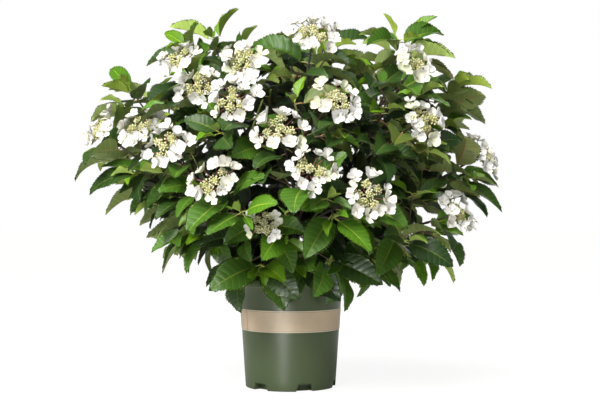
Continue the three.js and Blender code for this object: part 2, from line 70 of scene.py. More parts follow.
# Every mass: its name, the cane that it is on (None for its own) and how far along, where its stem's tip is,
# how many flower heads it has, and whether it hangs.
Mass = namedtuple("Mass", "name on leaves_at azimuth reach height blooms hanging")
MASSES = [Mass(*row) for row in (
    ("left_wing", None, 1, -72, 418, 548, 2, False),
    ("left_shoulder", None, 1, -42, 325, 682, 2, False),
    ("left_front", None, 1, -38, 390, 500, 1, False),
    ("front_left", None, 1, -21, 385, 436, 1, False),
    ("front_centre", None, 1, 6, 385, 456, 1, False),
    ("front_upper", None, 1, -18, 342, 594, 2, False),
    ("crown_top", None, 1, 12, 225, 734, 2, False),
    ("right_shoulder", None, 1, 45, 350, 672, 1, False),
    ("right_wing", None, 1, 76, 415, 500, 1, False),
    ("right_low", None, 1, 59, 392, 374, 1, False),
    ("back_right", None, 1, 128, 385, 480, 2, False),
    ("back_left", None, 1, -128, 385, 470, 2, False),
    ("back_upper", None, 1, 178, 320, 610, 2, False),
    ("back_top", None, 1, 142, 127, 784, 1, False),
    ("left_skirt", "left_wing", 0.75, -80, 322, 458, 0, False),
    ("lower_left", "left_front", 0.6, -50, 262, 340, 0, True),
    ("front_low_left", "front_left", 0.75, -8, 335, 358, 1, False),
    ("rim_left", "front_left", 0.45, -16, 205, 272, 0, True),
    ("rim_right", "front_centre", 0.45, 22, 214, 284, 0, True),
    ("front_right", "front_centre", 0.7, 24, 375, 410, 1, False),
    ("front_upper_right", "front_upper", 0.75, 15, 350, 590, 1, False),
    ("crown_left", "crown_top", 0.7, -20, 270, 676, 1, False),
    ("top_left", "left_shoulder", 0.7, -61, 182, 745, 0, False),
    ("right_upper", "right_shoulder", 0.75, 40, 400, 556, 1, False),
    ("lower_right", "right_low", 0.6, 62, 310, 312, 0, True),
    ("back_left_upper", "back_left", 0.8, -104, 370, 652, 0, False),
    ("back_right_upper", "back_right", 0.8, 101, 368, 664, 0, False),
    ("top_right", "right_shoulder", 0.7, 84, 258, 740, 0, False),
    ("back_left_skirt", "back_left", 0.55, -124, 272, 348, 0, True),
    ("back_right_skirt", "back_right", 0.55, 118, 310, 325, 0, True),
    ("back_middle", "back_upper", 0.7, 172, 370, 430, 2, False),
    ("back_rim", "back_upper", 0.35, -172, 225, 270, 0, True),
    ("front_middle", "front_centre", 0.85, -3, 345, 536, 1, False),
)]

SPINE = Sizes(root_radius=3.1, tip_radius=1.9, node_gap=44, most_nodes=5, peduncle=62)
SHOOT = Sizes(root_radius=2.4, tip_radius=1.6, length=72, angle=55, lift=0.25)
NODES = (0.5, 0.92)
LEAF = Sizes(length=104, width_share=0.6, stalk=16, angle=62, young_angle=30, wander=36, roll=1.3, level=0.5,
             spread=0.15)
BLOOM = Sizes(reach=47)

# ---- small tools ----

UP = np.array([0.0, 0.0, 1.0])
LIGHT = np.array([0.0, -1.0, 0.0])


def vary(*keys):
    """A repeatable number from 0 to 1 for each set of whole numbers, the same as the solids take."""
    mixed = SEED
    for key in keys:
        mixed = ((mixed ^ key) * 0x9E3779B1) & MASK
        mixed ^= mixed >> 15
    mixed = (mixed * 0x85EBCA6B) & MASK
    return (mixed ^ (mixed >> 13)) / 2**32


def polar(azimuth, reach, height):
    turn = math.radians(azimuth)
    return np.array([reach * math.sin(turn), -reach * math.cos(turn), height])


def unit(vector):
    return vector / np.linalg.norm(vector)


def outward(point):
    return unit(np.array([point[0], point[1], 1e-9]))


def lateral(along, degrees):
    """The direction square to `along`, turned by an angle from the highest one."""
    level = np.cross(along, UP)
    side = unit(level) if level @ level > 1e-4 else np.array([1.0, 0.0, 0.0])
    top = unit(np.cross(side, along))
    return top * math.cos(math.radians(degrees)) + side * math.sin(math.radians(degrees))


def disc(axis, degrees=0):
    """Two directions square to an axis and to each other."""
    first = lateral(axis, degrees)
    return first, np.cross(axis, first)


def spoke(sides, turn):
    """The direction on a disc at an angle, in radians."""
    return sides[0] * math.cos(turn) + sides[1] * math.sin(turn)


def curve(start, bend, end, share):
    """Where a quadratic curve is at a share of its way, or at a column of shares."""
    return start * (1 - share) ** 2 + bend * 2 * share * (1 - share) + end * share**2


# ---- how the plant grows ----


class Shoot:
    """A limb along a quadratic curve, with a radius at each end."""

    def __init__(self, start, bend, tip, root_radius, tip_radius):
        self.ends = (start, bend, tip)
        self.radii = (root_radius, tip_radius)
        self.length = np.linalg.norm(tip - start)

    def point(self, share):
        return curve(*self.ends, share)

    def tangent(self, share):
        start, bend, tip = self.ends
        return unit((bend - start) * (1 - share) + (tip - bend) * share)

    def radius(self, share):
        return self.radii[0] + (self.radii[1] - self.radii[0]) * share

    def stretches(self, pieces):
        points = [self.point(k / pieces) for k in range(pieces + 1)]
        return np.array([(points[k], points[k + 1]) for k in range(pieces)])


def grow_canes():
    """The canes by name. Their feet are spaced evenly round the stool, the steeper ones higher on it."""
    bearers = sorted((mass for mass in MASSES if mass.on is None), key=lambda mass: mass.azimuth)
    step = 360 / len(bearers)
    offset = sum(mass.azimuth - step * k for k, mass in enumerate(bearers)) / len(bearers)
    return {mass.name: cane_of(mass, offset + step * k) for k, mass in enumerate(bearers)}


def cane_of(mass, foot_azimuth):
    end = HEART + (polar(mass.azimuth, mass.reach, mass.height) - HEART) * ENTRY
    slope = math.atan2(end[2] - SOIL.top, math.hypot(end[0], end[1]))
    foot_height = SOIL.top + CANE_FOOT.lowest + CANE_FOOT.span * math.sin(slope)
    start = polar(foot_azimuth, CANE_FOOT.reach, foot_height)
    bend = (start + end) / 2 + UP * CANE.rise * np.linalg.norm(end - start)
    return Shoot(start, bend, end, CANE.root_radius, CANE.tip_radius)


def spine_of(mass, canes):
    tip = polar(mass.azimuth, mass.reach, mass.height)
    cane = canes[mass.on or mass.name]
    along = cane.tangent(mass.leaves_at)
    start = cane.point(mass.leaves_at) + along * (0 if mass.on else CLEAR)
    way = tip - start
    first = unit(along * 0.35 + unit(way) * 0.65) if mass.on else along
    bend = start + first * np.linalg.norm(way) * 0.5
    return Shoot(start, bend, tip, SPINE.root_radius, SPINE.tip_radius)


def leaf_on(shoot, share, turn, angle, length, droop, roll):
    """A leaf stands off its shoot, then turns its blade more level and its face up and outwards."""
    along = shoot.tangent(share)
    root = shoot.point(share)
    out = outward(root)
    stalk = along * math.cos(math.radians(angle)) + lateral(along, turn) * math.sin(math.radians(angle))
    blade = unit(stalk + UP * (-droop - LEAF.level * stalk[2]) + out * LEAF.spread)
    facing = unit(along * 0.3 + UP * 0.75 + out * 0.7 + np.cross(UP, out) * roll)
    face = unit(facing - blade * (facing @ blade))
    grown = (turn, angle, droop, roll)
    return dict(root=root, blade=blade, face=face, length=length, along=along, grown=grown)


def regrown(leaf, size, turn, droop):
    """The same leaf at another size, farther round its limb or drooping more."""
    if (size, turn, droop) == (1, 0, 0):
        return leaf
    turned, angle, drooped, roll = leaf["grown"]
    length = leaf["length"] * size
    return leaf | leaf_on(leaf["shoot"], leaf["share"], turned + turn, angle, length, drooped + droop, roll)


def bloom_on(shoot):
    """A flower head faces up and outwards, and turns a little to the light at the front."""
    tip = shoot.point(1)
    return dict(centre=tip, axis=unit(shoot.tangent(1) * 0.45 + UP * 0.5 + outward(tip) * 0.6 + LIGHT * 0.3))


def side_shoot(spine, share, turn, stretch):
    along = spine.tangent(share)
    start = spine.point(share)
    angle = math.radians(SHOOT.angle)
    way = along * math.cos(angle) + lateral(along, turn) * math.sin(angle) + UP * SHOOT.lift
    tip = start + way * SHOOT.length * stretch
    return Shoot(start, (start + tip) / 2, tip, SHOOT.root_radius, SHOOT.tip_radius)


def grow_mass(mass, index, canes):
    """Everything that one mass is made of. The leaves of the solids come first, the finer ones after them."""
    blooms, hanging = mass.blooms, mass.hanging
    spine = spine_of(mass, canes)
    grown = dict(spine=spine, shoots=[], leaves=[], fine=[], blooms=[])
    droop = 0.45 if hanging else 0.12
    last = 1 - SPINE.peduncle / spine.length if blooms else 0.94
    nodes = min(max(int(spine.length * last / SPINE.node_gap + 0.5), 2), SPINE.most_nodes)
    first = max(0, 1 - (nodes + 1) * SPINE.node_gap / (spine.length * last)) * last

    def pair(kind, shoot, share, turn, size, angle, young, *keys):
        for side in (0, 1):
            wander = (vary(index, *keys, side, 1) - 0.5) * LEAF.wander
            length = LEAF.length * size * (0.82 + 0.36 * vary(index, *keys, side, 2))
            roll = (vary(index, *keys, side, 7) - 0.5) * LEAF.roll
            leaf = leaf_on(shoot, share, turn + 180 * side + wander, angle, length, droop, roll)
            leaf.update(shoot=shoot, share=share, young=young, keys=(index, *keys, side))
            grown[kind].append(leaf)

    for node in range(1, nodes + 1):
        share = first + (last - first) * node / nodes
        turn = 45 + 90 * node + (vary(index, node, 3) - 0.5) * 30
        if node == nodes:
            pair("leaves", spine, share, turn, 1, LEAF.angle, False, node)
            continue
        pair("fine", spine, share, turn + 90, 1, LEAF.angle, False, node, 11)
        for side in (0, 1):
            stretch = (1.15 - 0.35 * share) * (0.8 + 0.4 * vary(index, node, side, 4))
            shoot = side_shoot(spine, share, turn + 180 * side, stretch)
            shoot.keys = (node, side)
            shoot.turn = turn
            grown["shoots"].append(shoot)

    def score(shoot):
        tip = shoot.point(1)
        return tip[2] + 0.6 * math.hypot(tip[0], tip[1])

    grown["shoots"].sort(key=score, reverse=True)
    for rank, shoot in enumerate(grown["shoots"]):
        pair("leaves", shoot, NODES[0], shoot.turn, 0.95, LEAF.angle, False, *shoot.keys, 5)
        if rank < blooms - 1:
            grown["blooms"].append(bloom_on(shoot))
            continue
        pair("leaves", shoot, NODES[1], shoot.turn + 90, 0.9, LEAF.angle, False, *shoot.keys, 6)
        pair("fine", shoot, 1, shoot.turn, 0.5, LEAF.young_angle + 10, True, *shoot.keys, 12)
    if blooms:
        grown["blooms"].append(bloom_on(spine))
    else:
        angle = LEAF.angle if hanging else LEAF.young_angle
        pair("leaves", spine, 0.99, 45 + 90 * (nodes + 1), 0.8, angle, True, nodes + 1)
        pair("fine", spine, 1, 135 + 90 * (nodes + 1), 0.45, LEAF.young_angle, True, nodes + 1, 13)
    return grown


# ---- what a leaf has to keep clear of ----


def gaps(lines, limbs):
    """The shortest way from each of the lines to each of the limbs, as a table. Both hold pairs of ends."""
    a, c = lines[:, None, 0], limbs[None, :, 0]
    u, v, w = lines[:, None, 1] - a, limbs[None, :, 1] - c, c - a
    uu, uv, vv = (u * u).sum(-1), (u * v).sum(-1), (v * v).sum(-1)
    uw, vw = (u * w).sum(-1), (v * w).sum(-1)
    spread = uu * vv - uv * uv
    s = np.clip(np.where(spread > 1e-9, (vv * uw - uv * vw) / np.maximum(spread, 1e-9), 0), 0, 1)
    t = np.clip((uv * s - vw) / vv, 0, 1)
    s = np.clip((uv * t + uw) / uu, 0, 1)
    return np.linalg.norm(w - u * s[..., None] + v * t[..., None], axis=-1)


def leaf_lines(leaf):
    """Five lines run from the leaf's root across its widest part to its tip."""
    root, blade, face, length = leaf["root"], leaf["blade"], leaf["face"], leaf["length"]
    side = np.cross(face, blade)
    widest = root + blade * (LEAF.stalk + length * 0.4)
    half = length * LEAF.width_share / 2
    tip = root + blade * (LEAF.stalk + length) - UP * 0.1 * length
    lines = []
    for share in (0.04, 0.27, 0.5, 0.73, 0.96):
        across = widest + side * half * (1 - 2 * share)
        lines += [(root + (across - root) * 0.3, across), (across, tip)]
    return np.array(lines)


FITS = Sizes(space_slack=30, limb_gap=2.5, leaf_gap=2.2, leaf_radius=0.4, bloom_radius=7, near=170)
# What is tried for each leaf in turn: its size, then degrees round its limb, and how much more it droops.
TRIES = [(1, 0, 0), (1, 16, 0.18), (1, -16, -0.12), (0.86, 0, 0.3), (0.86, 24, 0), (0.72, -24, 0.15),
         (0.72, 0, -0.2)]


def in_own_space(points, index, middles, slack=0):
    """A mass owns the space nearer to its own middle than to any other's, and its leaves a little more."""
    own = middles[index]
    others = np.delete(middles, index, axis=0)
    to_own = ((points - own) ** 2).sum(-1)[:, None]
    to_others = ((points[:, None] - others[None]) ** 2).sum(-1)
    return ((to_others - to_own) / (2 * np.linalg.norm(others - own, axis=1)) > -slack).all()


def clear_of_pot(points):
    beside = np.hypot(points[:, 0], points[:, 1]) > POT.lip_radius + 2
    return ((points[:, 2] > POT.height + 2) | beside).all()


def bloom_lines(bloom):
    sides = disc(bloom["axis"])
    rims = [bloom["centre"] + spoke(sides, math.pi * k / 4) * BLOOM.reach for k in range(8)]
    return np.array([(bloom["centre"], rim) for rim in rims])


class Limbs:
    """Lines with a radius each, that leaves keep clear of."""

    def __init__(self, canes=()):
        self.lines = np.zeros((0, 2, 3))
        self.radii = np.zeros(0)
        for cane in canes:
            self.add(cane.stretches(5), cane.radius(0.5))

    def add(self, lines, radius):
        self.lines = np.concatenate([self.lines, lines])
        self.radii = np.concatenate([self.radii, np.broadcast_to(radius, len(lines))])

    def clear(self, lines, reach):
        centre = lines.mean(axis=(0, 1))
        near = np.abs(self.lines.mean(axis=1) - centre).max(axis=1) < FITS.near
        return not near.any() or (gaps(lines, self.lines[near]) > self.radii[near] + reach).all()


def settle_shoots(plants, canes, middles):
    """Keeps the side shoots and flower heads that fit in each mass's own space."""
    for index, plant in enumerate(plants):
        limbs = Limbs(canes.values())
        for other in plants[:index] + plants[index + 1:]:
            limbs.add(other["spine"].stretches(4), SPINE.root_radius)
            if other["blooms"]:
                limbs.add(bloom_lines(bloom_on(other["spine"])), FITS.bloom_radius)
        kept, bare = [], []
        for shoot in plant["shoots"]:
            free = in_own_space(shoot.point(1)[None], index, middles) and limbs.clear(shoot.stretches(1), 4)
            free = free and clear_of_pot(np.array([shoot.point(0.5), shoot.point(1)]))
            (kept if free else bare).append(shoot)
        blooms = []
        for bloom in plant["blooms"]:
            on_side = np.linalg.norm(bloom["centre"] - plant["spine"].point(1)) > 1
            lost = any(np.linalg.norm(bloom["centre"] - shoot.point(1)) < 1 for shoot in bare)
            if not on_side or not lost and in_own_space(bloom_lines(bloom)[:, 1], index, middles):
                blooms.append(bloom)
        plant.update(shoots=kept, bare=bare, blooms=blooms)


def settle_leaves(plants, canes, middles):
    """Gives each leaf the first of its tries that keeps clear of limbs, heads and the leaves before it."""
    limbs, taken = Limbs(canes.values()), Limbs()
    for plant in plants:
        limbs.add(plant["spine"].stretches(4), SPINE.root_radius - 1)
        for shoot in plant["shoots"]:
            limbs.add(shoot.stretches(1), SHOOT.root_radius - 1)
        for bloom in plant["blooms"]:
            taken.add(bloom_lines(bloom), FITS.bloom_radius)

    def settle(leaf, index=None):
        for change in TRIES:
            tried = regrown(leaf, *change)
            lines = leaf_lines(tried)
            spots = np.concatenate([lines[:, 0] * (1 - s) + lines[:, 1] * s for s in (0.3, 0.65, 1)])
            if not clear_of_pot(spots) or not limbs.clear(lines, FITS.limb_gap):
                continue
            corners = lines[[0, 5, 8], 1]
            if index is not None and not in_own_space(corners, index, middles, FITS.space_slack):
                continue
            if taken.clear(lines, FITS.leaf_gap):
                taken.add(lines, FITS.leaf_radius)
                return [tried]
        return []

    for kind in ("leaves", "fine"):
        for index, plant in enumerate(plants):
            wanted = [leaf for leaf in plant[kind] if leaf["shoot"] not in plant["bare"]]
            plant[kind] = [kept for leaf in wanted for kept in settle(leaf, index)]
    return [kept for leaf in cane_leaves(canes) for kept in settle(leaf)]


CANE_KEYS = 200


def cane_leaves(canes):
    """The shaded leaves inside the plant, in pairs along the canes."""
    grown = []
    for index, cane in enumerate(canes.values()):
        nodes = int(cane.length * 0.7 / 30)
        for node in range(nodes + 1):
            share = 0.28 + 0.7 * node / nodes
            for side in (0, 1):
                keys = (CANE_KEYS + index, node, side)
                turn = 45 + 90 * node + 180 * side + (vary(*keys, 1) - 0.5) * LEAF.wander
                length = LEAF.length * (0.8 + 0.3 * vary(*keys, 2))
                roll = (vary(*keys, 7) - 0.5) * LEAF.roll
                leaf = leaf_on(cane, share, turn, 68, length, 0.1, roll)
                leaf.update(share=share, shoot=cane, young=False, keys=keys)
                grown.append(leaf)
    return grown


# ---- joined meshes ----


def add_object(name, data):
    thing = bpy.data.objects.new(name, data)
    bpy.context.scene.collection.objects.link(thing)
    return thing


def mount(piece, slot, *nodes):
    """Ties a piece to the body and hides the solids that it stands for. Its material's slot is not used."""
    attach(piece, BODY)
    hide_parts(*nodes)


class Pile:
    """Many small shapes joined in one mesh, each face with the number of its material."""

    def __init__(self):
        self.points, self.faces, self.slots = [], [], []
        self.count = 0

    def add(self, points, faces, slots):
        self.points.append(np.asarray(points, float))
        self.faces.append(np.asarray(faces, int) + self.count)
        self.slots.append(np.broadcast_to(slots, len(faces)))
        self.count += len(points)

    def build(self, name, materials, smooth=True):
        points = np.concatenate(self.points) * MM
        faces = np.concatenate(self.faces)
        mesh = bpy.data.meshes.new(name)
        mesh.vertices.add(len(points))
        mesh.vertices.foreach_set("co", points.astype(np.float32).ravel())
        mesh.loops.add(3 * len(faces))
        mesh.loops.foreach_set("vertex_index", faces.astype(np.int32).ravel())
        mesh.polygons.add(len(faces))
        mesh.polygons.foreach_set("loop_start", np.arange(0, 3 * len(faces), 3, dtype=np.int32))
        mesh.polygons.foreach_set("material_index", np.concatenate(self.slots).astype(np.int32))
        mesh.polygons.foreach_set("use_smooth", np.full(len(faces), smooth))
        for material in materials:
            mesh.materials.append(material)
        mesh.update(calc_edges=True)
        mesh.validate()
        return add_object(name, mesh)


def weld(mesh, distance, slivers=0):
    """Merges doubled points, and faces thinner than `slivers`, and turns all faces outwards."""
    work = bmesh.new()
    work.from_mesh(mesh)
    bmesh.ops.remove_doubles(work, verts=work.verts, dist=distance)
    if slivers:
        bmesh.ops.dissolve_degenerate(work, edges=work.edges, dist=slivers)
    bmesh.ops.recalc_face_normals(work, faces=work.faces)
    work.to_mesh(mesh)
    work.free()


def grid_faces(rows, columns, closed=False):
    """The triangles of a grid of points, row by row. A closed one joins its last column to its first."""
    faces = []
    for row in range(rows - 1):
        for column in range(columns if closed else columns - 1):
            a = row * columns + column
            b = row * columns + (column + 1) % columns
            faces += [(a, b, b + columns), (a, b + columns, a + columns)]
    return np.array(faces)


def tube(pile, points, radii, sides, slot, relief=None):
    """A limb through the points, with a closed round end. `relief` gives each ring's share of its radius."""
    points = np.asarray(points, float)
    tangents = np.gradient(points, axis=0)
    tangents /= np.linalg.norm(tangents, axis=1)[:, None]
    normal = lateral(tangents[0], 0)
    turns = 2 * np.pi * np.arange(sides) / sides
    rings = []
    for k, along in enumerate(tangents):
        normal = unit(normal - along * (normal @ along))
        across = np.cross(along, normal)
        share = np.ones(sides) if relief is None else relief(k, turns)
        spokes = np.outer(np.cos(turns), normal) + np.outer(np.sin(turns), across)
        rings.append(points[k] + spokes * (radii[k] * share)[:, None])
    rings.append(points[-1:] + tangents[-1] * radii[-1] * 0.6)
    faces = list(grid_faces(len(points), sides, closed=True))
    top = (len(points) - 1) * sides
    faces += [(top + k, top + (k + 1) % sides, top + sides) for k in range(sides)]
    pile.add(np.concatenate(rings), faces, slot)


def shoot_tube(pile, shoot, sides, rings, slot, knots):
    """A shoot's tube, swollen at its knots."""
    shares = np.linspace(0, 1, rings)
    swell = np.ones(rings)
    for knot in knots:
        swell = swell + 0.35 * np.exp(-(((shares - knot) * shoot.length / 4) ** 2))
    radii = [shoot.radius(share) * size for share, size in zip(shares, swell)]
    tube(pile, [shoot.point(share) for share in shares], radii, sides, slot)


# ---- leaves ----

VEINS = 7
RIB_SHARE = 0.011
VEIN_SHARE = 0.008
VEIN_SWEEP = 0.32
VEIN_ARCH = 1.5
EDGE = 0.95
ACROSS = (0.05, 0.36, 0.7, EDGE)


def half_width(share):
    """The outline of an ovate leaf with a drawn-out tip: its half width along its length, widest 1."""
    body = share**0.62 * (1 - share) ** 0.82 / 0.3735
    drawn = np.clip((share - 0.68) / 0.32, 0, 1)
    return body * (1 - 0.38 * drawn * (1 - drawn) * 2)


def leaf_rows():
    """Where the rows of a leaf's faces leave the midrib: a strip for each vein, and a line between two."""
    starts = 0.05 + 0.84 * (np.arange(VEINS) / VEINS) ** 0.92
    rows, kinds = [0.0], ["base"]
    for start, following in zip(starts, [*starts[1:], 1.0]):
        end = start + 2 * VEIN_SHARE
        rows += [start, end, (end + following) / 2]
        kinds += ["vein", "vein_end", "crest"]
    return np.array(rows + [1.0]), kinds + ["tip"]


def leaf_sheet(under):
    """One side of a leaf as a flat pattern: places across and along, relief, faces and their classes."""
    rows, kinds = leaf_rows()
    if under:
        kept = [k for k, kind in enumerate(kinds) if kind != "crest"]
        rows, kinds = rows[kept], [kinds[k] for k in kept]
    ends = rows + VEIN_SWEEP * rows**0.35 * (1 - rows)
    signed = [-v for v in reversed(ACROSS)] + [0.0] + list(ACROSS)
    columns = len(signed)
    x, y, height, inner = [], [], [], []
    for row, end, kind in zip(rows, ends, kinds):
        for v in signed:
            size = abs(v)
            reach = size * half_width(end) * LEAF.width_share / 2
            wide = 0 if kind == "tip" else max(reach, RIB_SHARE * (1 - 0.75 * row) if size else 0)
            x.append(math.copysign(wide, v) if v else 0)
            y.append(row + (end - row) * size**VEIN_ARCH)
            bulge = math.sin(math.pi * size / EDGE) ** 0.7 if size < EDGE else 0
            crest = {"crest": 1.0, "vein": -0.8, "vein_end": -0.8}.get(kind, 0)
            sunk = {0.0: -1.1, ACROSS[0]: -0.9}.get(size, 0)
            height.append(crest * bulge + sunk * (1 - row))
            inner.append(1 - (size / EDGE) ** 4)
    faces, classes = [], []
    middle = len(ACROSS)
    for row, kind in enumerate(kinds[:-1]):
        for column in range(columns - 1):
            a = row * columns + column
            b = a + columns
            faces += [(a, a + 1, b + 1), (a, b + 1, b)]
            on_rib = column in (middle - 1, middle)
            classes += [1 if on_rib else 2 if kind == "vein" else 0] * 2
    for row in range(1, len(rows) - 2):
        if kinds[row] == "vein" or under:
            continue
        for column, sign in ((0, -1), (columns - 1, 1)):
            a, b = row * columns + column, (row + 1) * columns + column
            share = ends[row] * 0.2 + ends[row + 1] * 0.8
            x.append(sign * (half_width(share) * 1.02 + 0.035) * LEAF.width_share / 2)
            y.append(share + 0.01)
            height.append(0)
            inner.append(0)
            faces.append((b, a, len(x) - 1) if sign < 0 else (a, b, len(x) - 1))
            classes.append(1)
    faces, classes = np.array(faces), np.array(classes)
    if under:
        faces, classes = faces[:, ::-1], 3 + classes
    flat = {name: np.array(values) for name, values in dict(x=x, y=y, height=height, inner=inner).items()}
    return dict(flat, faces=faces, classes=classes, under=under)


def bent_leaf(sheet, leaf, shape):
    """A sheet laid along its leaf: folded at the midrib, curled down, waved at the margin, twisted."""
    length, blade, face = leaf["length"], leaf["blade"], leaf["face"]
    side = np.cross(face, blade)
    base = leaf["root"] + blade * LEAF.stalk
    x, y = sheet["x"] * length, sheet["y"]
    size = np.abs(x)
    edge = np.clip(size / (0.5 * LEAF.width_share * length), 0, 1)
    theta = (shape["curl"] * (shape["rise"] - y))[:, None]
    turned = shape["curl"] * shape["rise"]
    forward = length / shape["curl"] * (np.sin(turned) - np.sin(theta))
    upward = length / shape["curl"] * (np.cos(theta) - np.cos(turned))
    wave = shape["wave"] * np.sin(2 * np.pi * (shape["waves"] * y + shape["phase"]) + np.sign(x)) * edge**2
    roll = size * size / length * shape["cup"]
    lift = size * math.sin(shape["fold"]) - roll + wave + sheet["height"] * (length / 100)
    if sheet["under"]:
        lift = lift - sheet["inner"] * 0.5 - np.where(edge < 0.05, 0.7 * (1 - y), 0)
    out = x * math.cos(shape["fold"]) + length * shape["bow"] * np.sin(np.pi * y)
    normal = face * np.cos(theta) - blade * np.sin(theta)
    twist = (shape["twist"] * y)[:, None]
    spread = side * np.cos(twist) + normal * np.sin(twist)
    above = normal * np.cos(twist) - side * np.sin(twist)
    return base + blade * forward + face * upward + spread * out[:, None] + above * lift[:, None]


FOLDED_ABOVE = 640


def leaf_shape(leaf):
    """How one leaf is bent, from its own keys."""
    chance = [vary(*leaf["keys"], 20 + k) for k in range(8)]
    young = leaf["young"]
    folded = young or leaf["root"][2] > FOLDED_ABOVE
    return dict(
        curl=math.radians((15 if young else 30) + 44 * chance[0]),
        rise=0.3 + 0.2 * chance[1],
        fold=math.radians(26 + 24 * chance[2] if folded else 9 + 20 * chance[2]),
        cup=0.15 + 0.35 * chance[3],
        wave=0.8 + 2.4 * chance[4],
        waves=1.4 + 1.2 * chance[5],
        phase=chance[6],
        bow=0.05 * (chance[7] - 0.5),
        twist=math.radians(34 * (chance[5] - 0.5)),
    )


# Leaf colours, as plain base colours: blade, midrib, veins, then the underside's blade, midrib and veins.
LEAF_PARTS = ("blade", "rib", "vein", "under", "under_rib", "under_vein")
# The underside colours are paler, as on the real leaf, and brightened further as painted light that stands in
# for light through the leaf and from below.
GREENS = {
    "dark": ((0.029, 0.072, 0.012), (0.125, 0.178, 0.029), (0.052, 0.116, 0.019),
             (0.287, 0.376, 0.113), (0.435, 0.246, 0.119), (0.376, 0.468, 0.159)),
    "deep": ((0.015, 0.041, 0.009), (0.090, 0.135, 0.023), (0.031, 0.073, 0.015),
             (0.241, 0.323, 0.107), (0.413, 0.446, 0.167), (0.323, 0.411, 0.150)),
    "mid": ((0.052, 0.135, 0.012), (0.200, 0.281, 0.035), (0.087, 0.193, 0.020),
            (0.312, 0.427, 0.109), (0.470, 0.461, 0.150), (0.400, 0.517, 0.147)),
    "bright": ((0.080, 0.205, 0.012), (0.280, 0.410, 0.032), (0.122, 0.276, 0.020),
               (0.340, 0.476, 0.095), (0.461, 0.543, 0.132), (0.419, 0.558, 0.124)),
    "lime": ((0.115, 0.253, 0.009), (0.331, 0.457, 0.029), (0.143, 0.298, 0.013),
             (0.309, 0.433, 0.059), (0.453, 0.541, 0.089), (0.371, 0.498, 0.077)),
    # The shade tone is painted shade: near-black leaves for the dark inside of the crown.
    "shade": ((0.007, 0.019, 0.005), (0.030, 0.049, 0.009), (0.009, 0.024, 0.005),
              (0.047, 0.070, 0.021), (0.078, 0.082, 0.030), (0.061, 0.087, 0.026)),
    "olive": ((0.090, 0.133, 0.022), (0.247, 0.175, 0.041), (0.107, 0.155, 0.026),
              (0.355, 0.408, 0.144), (0.453, 0.261, 0.121), (0.440, 0.497, 0.184)),
}
TONES = list(GREENS)
MIDDLE = np.array([0.0, 0.0, 430.0])
HULL = 420
# The chance of each tone, up to which it is taken, by where on the plant a leaf is.
SHARES = dict(
    young=dict(lime=0.6, bright=1),
    # inside: the darker tones, as painted shade on the inner leaves.
    inside=dict(dark=0.3, deep=1),
    low=dict(mid=0.55, bright=0.66, dark=0.93, deep=1),
    crown=dict(mid=0.36, dark=0.76, deep=0.88, olive=1),
    sides=dict(dark=0.45, deep=0.7, mid=0.88, olive=1),
)


def tone_of(leaf):
    """A leaf's colour: young tips are lime, the low front is fresher and the crown dark; leaves inside take
    darker tones and the deepest ones a near-black tone, as painted shade.
    """
    chance = vary(*leaf["keys"], 31)
    height = leaf["root"][2]
    offset = leaf["root"] - MIDDLE
    # Below the middle, height counts twice, so the low leaves over the pot escape the painted shade.
    offset[2] *= 1 if offset[2] > 0 else 2
    depth = np.linalg.norm(offset) / HULL
    # Painted shade: leaves deep in the crown get the near-black shade tone.
    if depth + 0.16 * (chance - 0.5) < 0.6:
        return "shade"
    zone = "low" if height < MIDDLE[2] else "crown" if height > FOLDED_ABOVE else "sides"
    if leaf["young"]:
        zone = "young"
    # Painted shade: cane leaves and leaves near the middle take the dark and deep tones.
    elif leaf["keys"][0] >= CANE_KEYS or depth < 0.68:
        zone = "inside"
    return next(tone for tone, limit in SHARES[zone].items() if chance < limit)


def add_leaf(pile, leaf, sheets):
    shape = leaf_shape(leaf)
    slots = TONES.index(tone_of(leaf)) * len(LEAF_PARTS)
    for sheet in sheets:
        pile.add(bent_leaf(sheet, leaf, shape), sheet["faces"], slots + sheet["classes"])
    root, base = leaf["root"], leaf["root"] + leaf["blade"] * (LEAF.stalk + 2)
    bend = root + leaf["along"] * LEAF.stalk * 0.45
    path = curve(root, bend, base, np.linspace(0, 1, 5)[:, None])
    radius = 0.9 + leaf["length"] * 0.006
    tube(pile, path, [radius * size for size in (1.3, 1, 0.85, 0.85, 0.7)], 5, slots + 4)


# ---- flower heads ----


def petal_patch():
    """A rounded, cupped sepal as a grid of 5 by 5: across, along and how far it is from the middle line."""
    rows = np.array([0.0, 0.28, 0.55, 0.8, 1.0])
    widths = np.array([0.2, 0.6, 0.96, 0.93, 0.5])
    across = np.array([-1.0, -0.5, 0.0, 0.5, 1.0])
    x = (widths[:, None] * across[None, :] * 0.52).ravel()
    y = (rows[:, None] - 0.16 * np.abs(across[None, :]) ** 2 * rows[:, None] ** 2).ravel()
    edge = np.tile(np.abs(across), 5)
    return x, y, edge


PETAL = petal_patch()
PETAL_FACES = grid_faces(5, 5)
BLOOM_COLOURS = dict(
    petal=(0.74, 0.74, 0.725), petal_warm=(0.72, 0.71, 0.65), petal_green=(0.65, 0.68, 0.52),
    bud=(0.60, 0.58, 0.27), bud_dark=(0.36, 0.38, 0.13), bud_pale=(0.70, 0.68, 0.46), bead=(0.50, 0.47, 0.27),
    ray=(0.055, 0.020, 0.028), pedicel=(0.30, 0.10, 0.09),
)
BLOOM_SLOTS = {name: k for k, name in enumerate(BLOOM_COLOURS)}
CLUSTERS = 7
BUDS = 24
GOLDEN_ANGLE = 2.39996


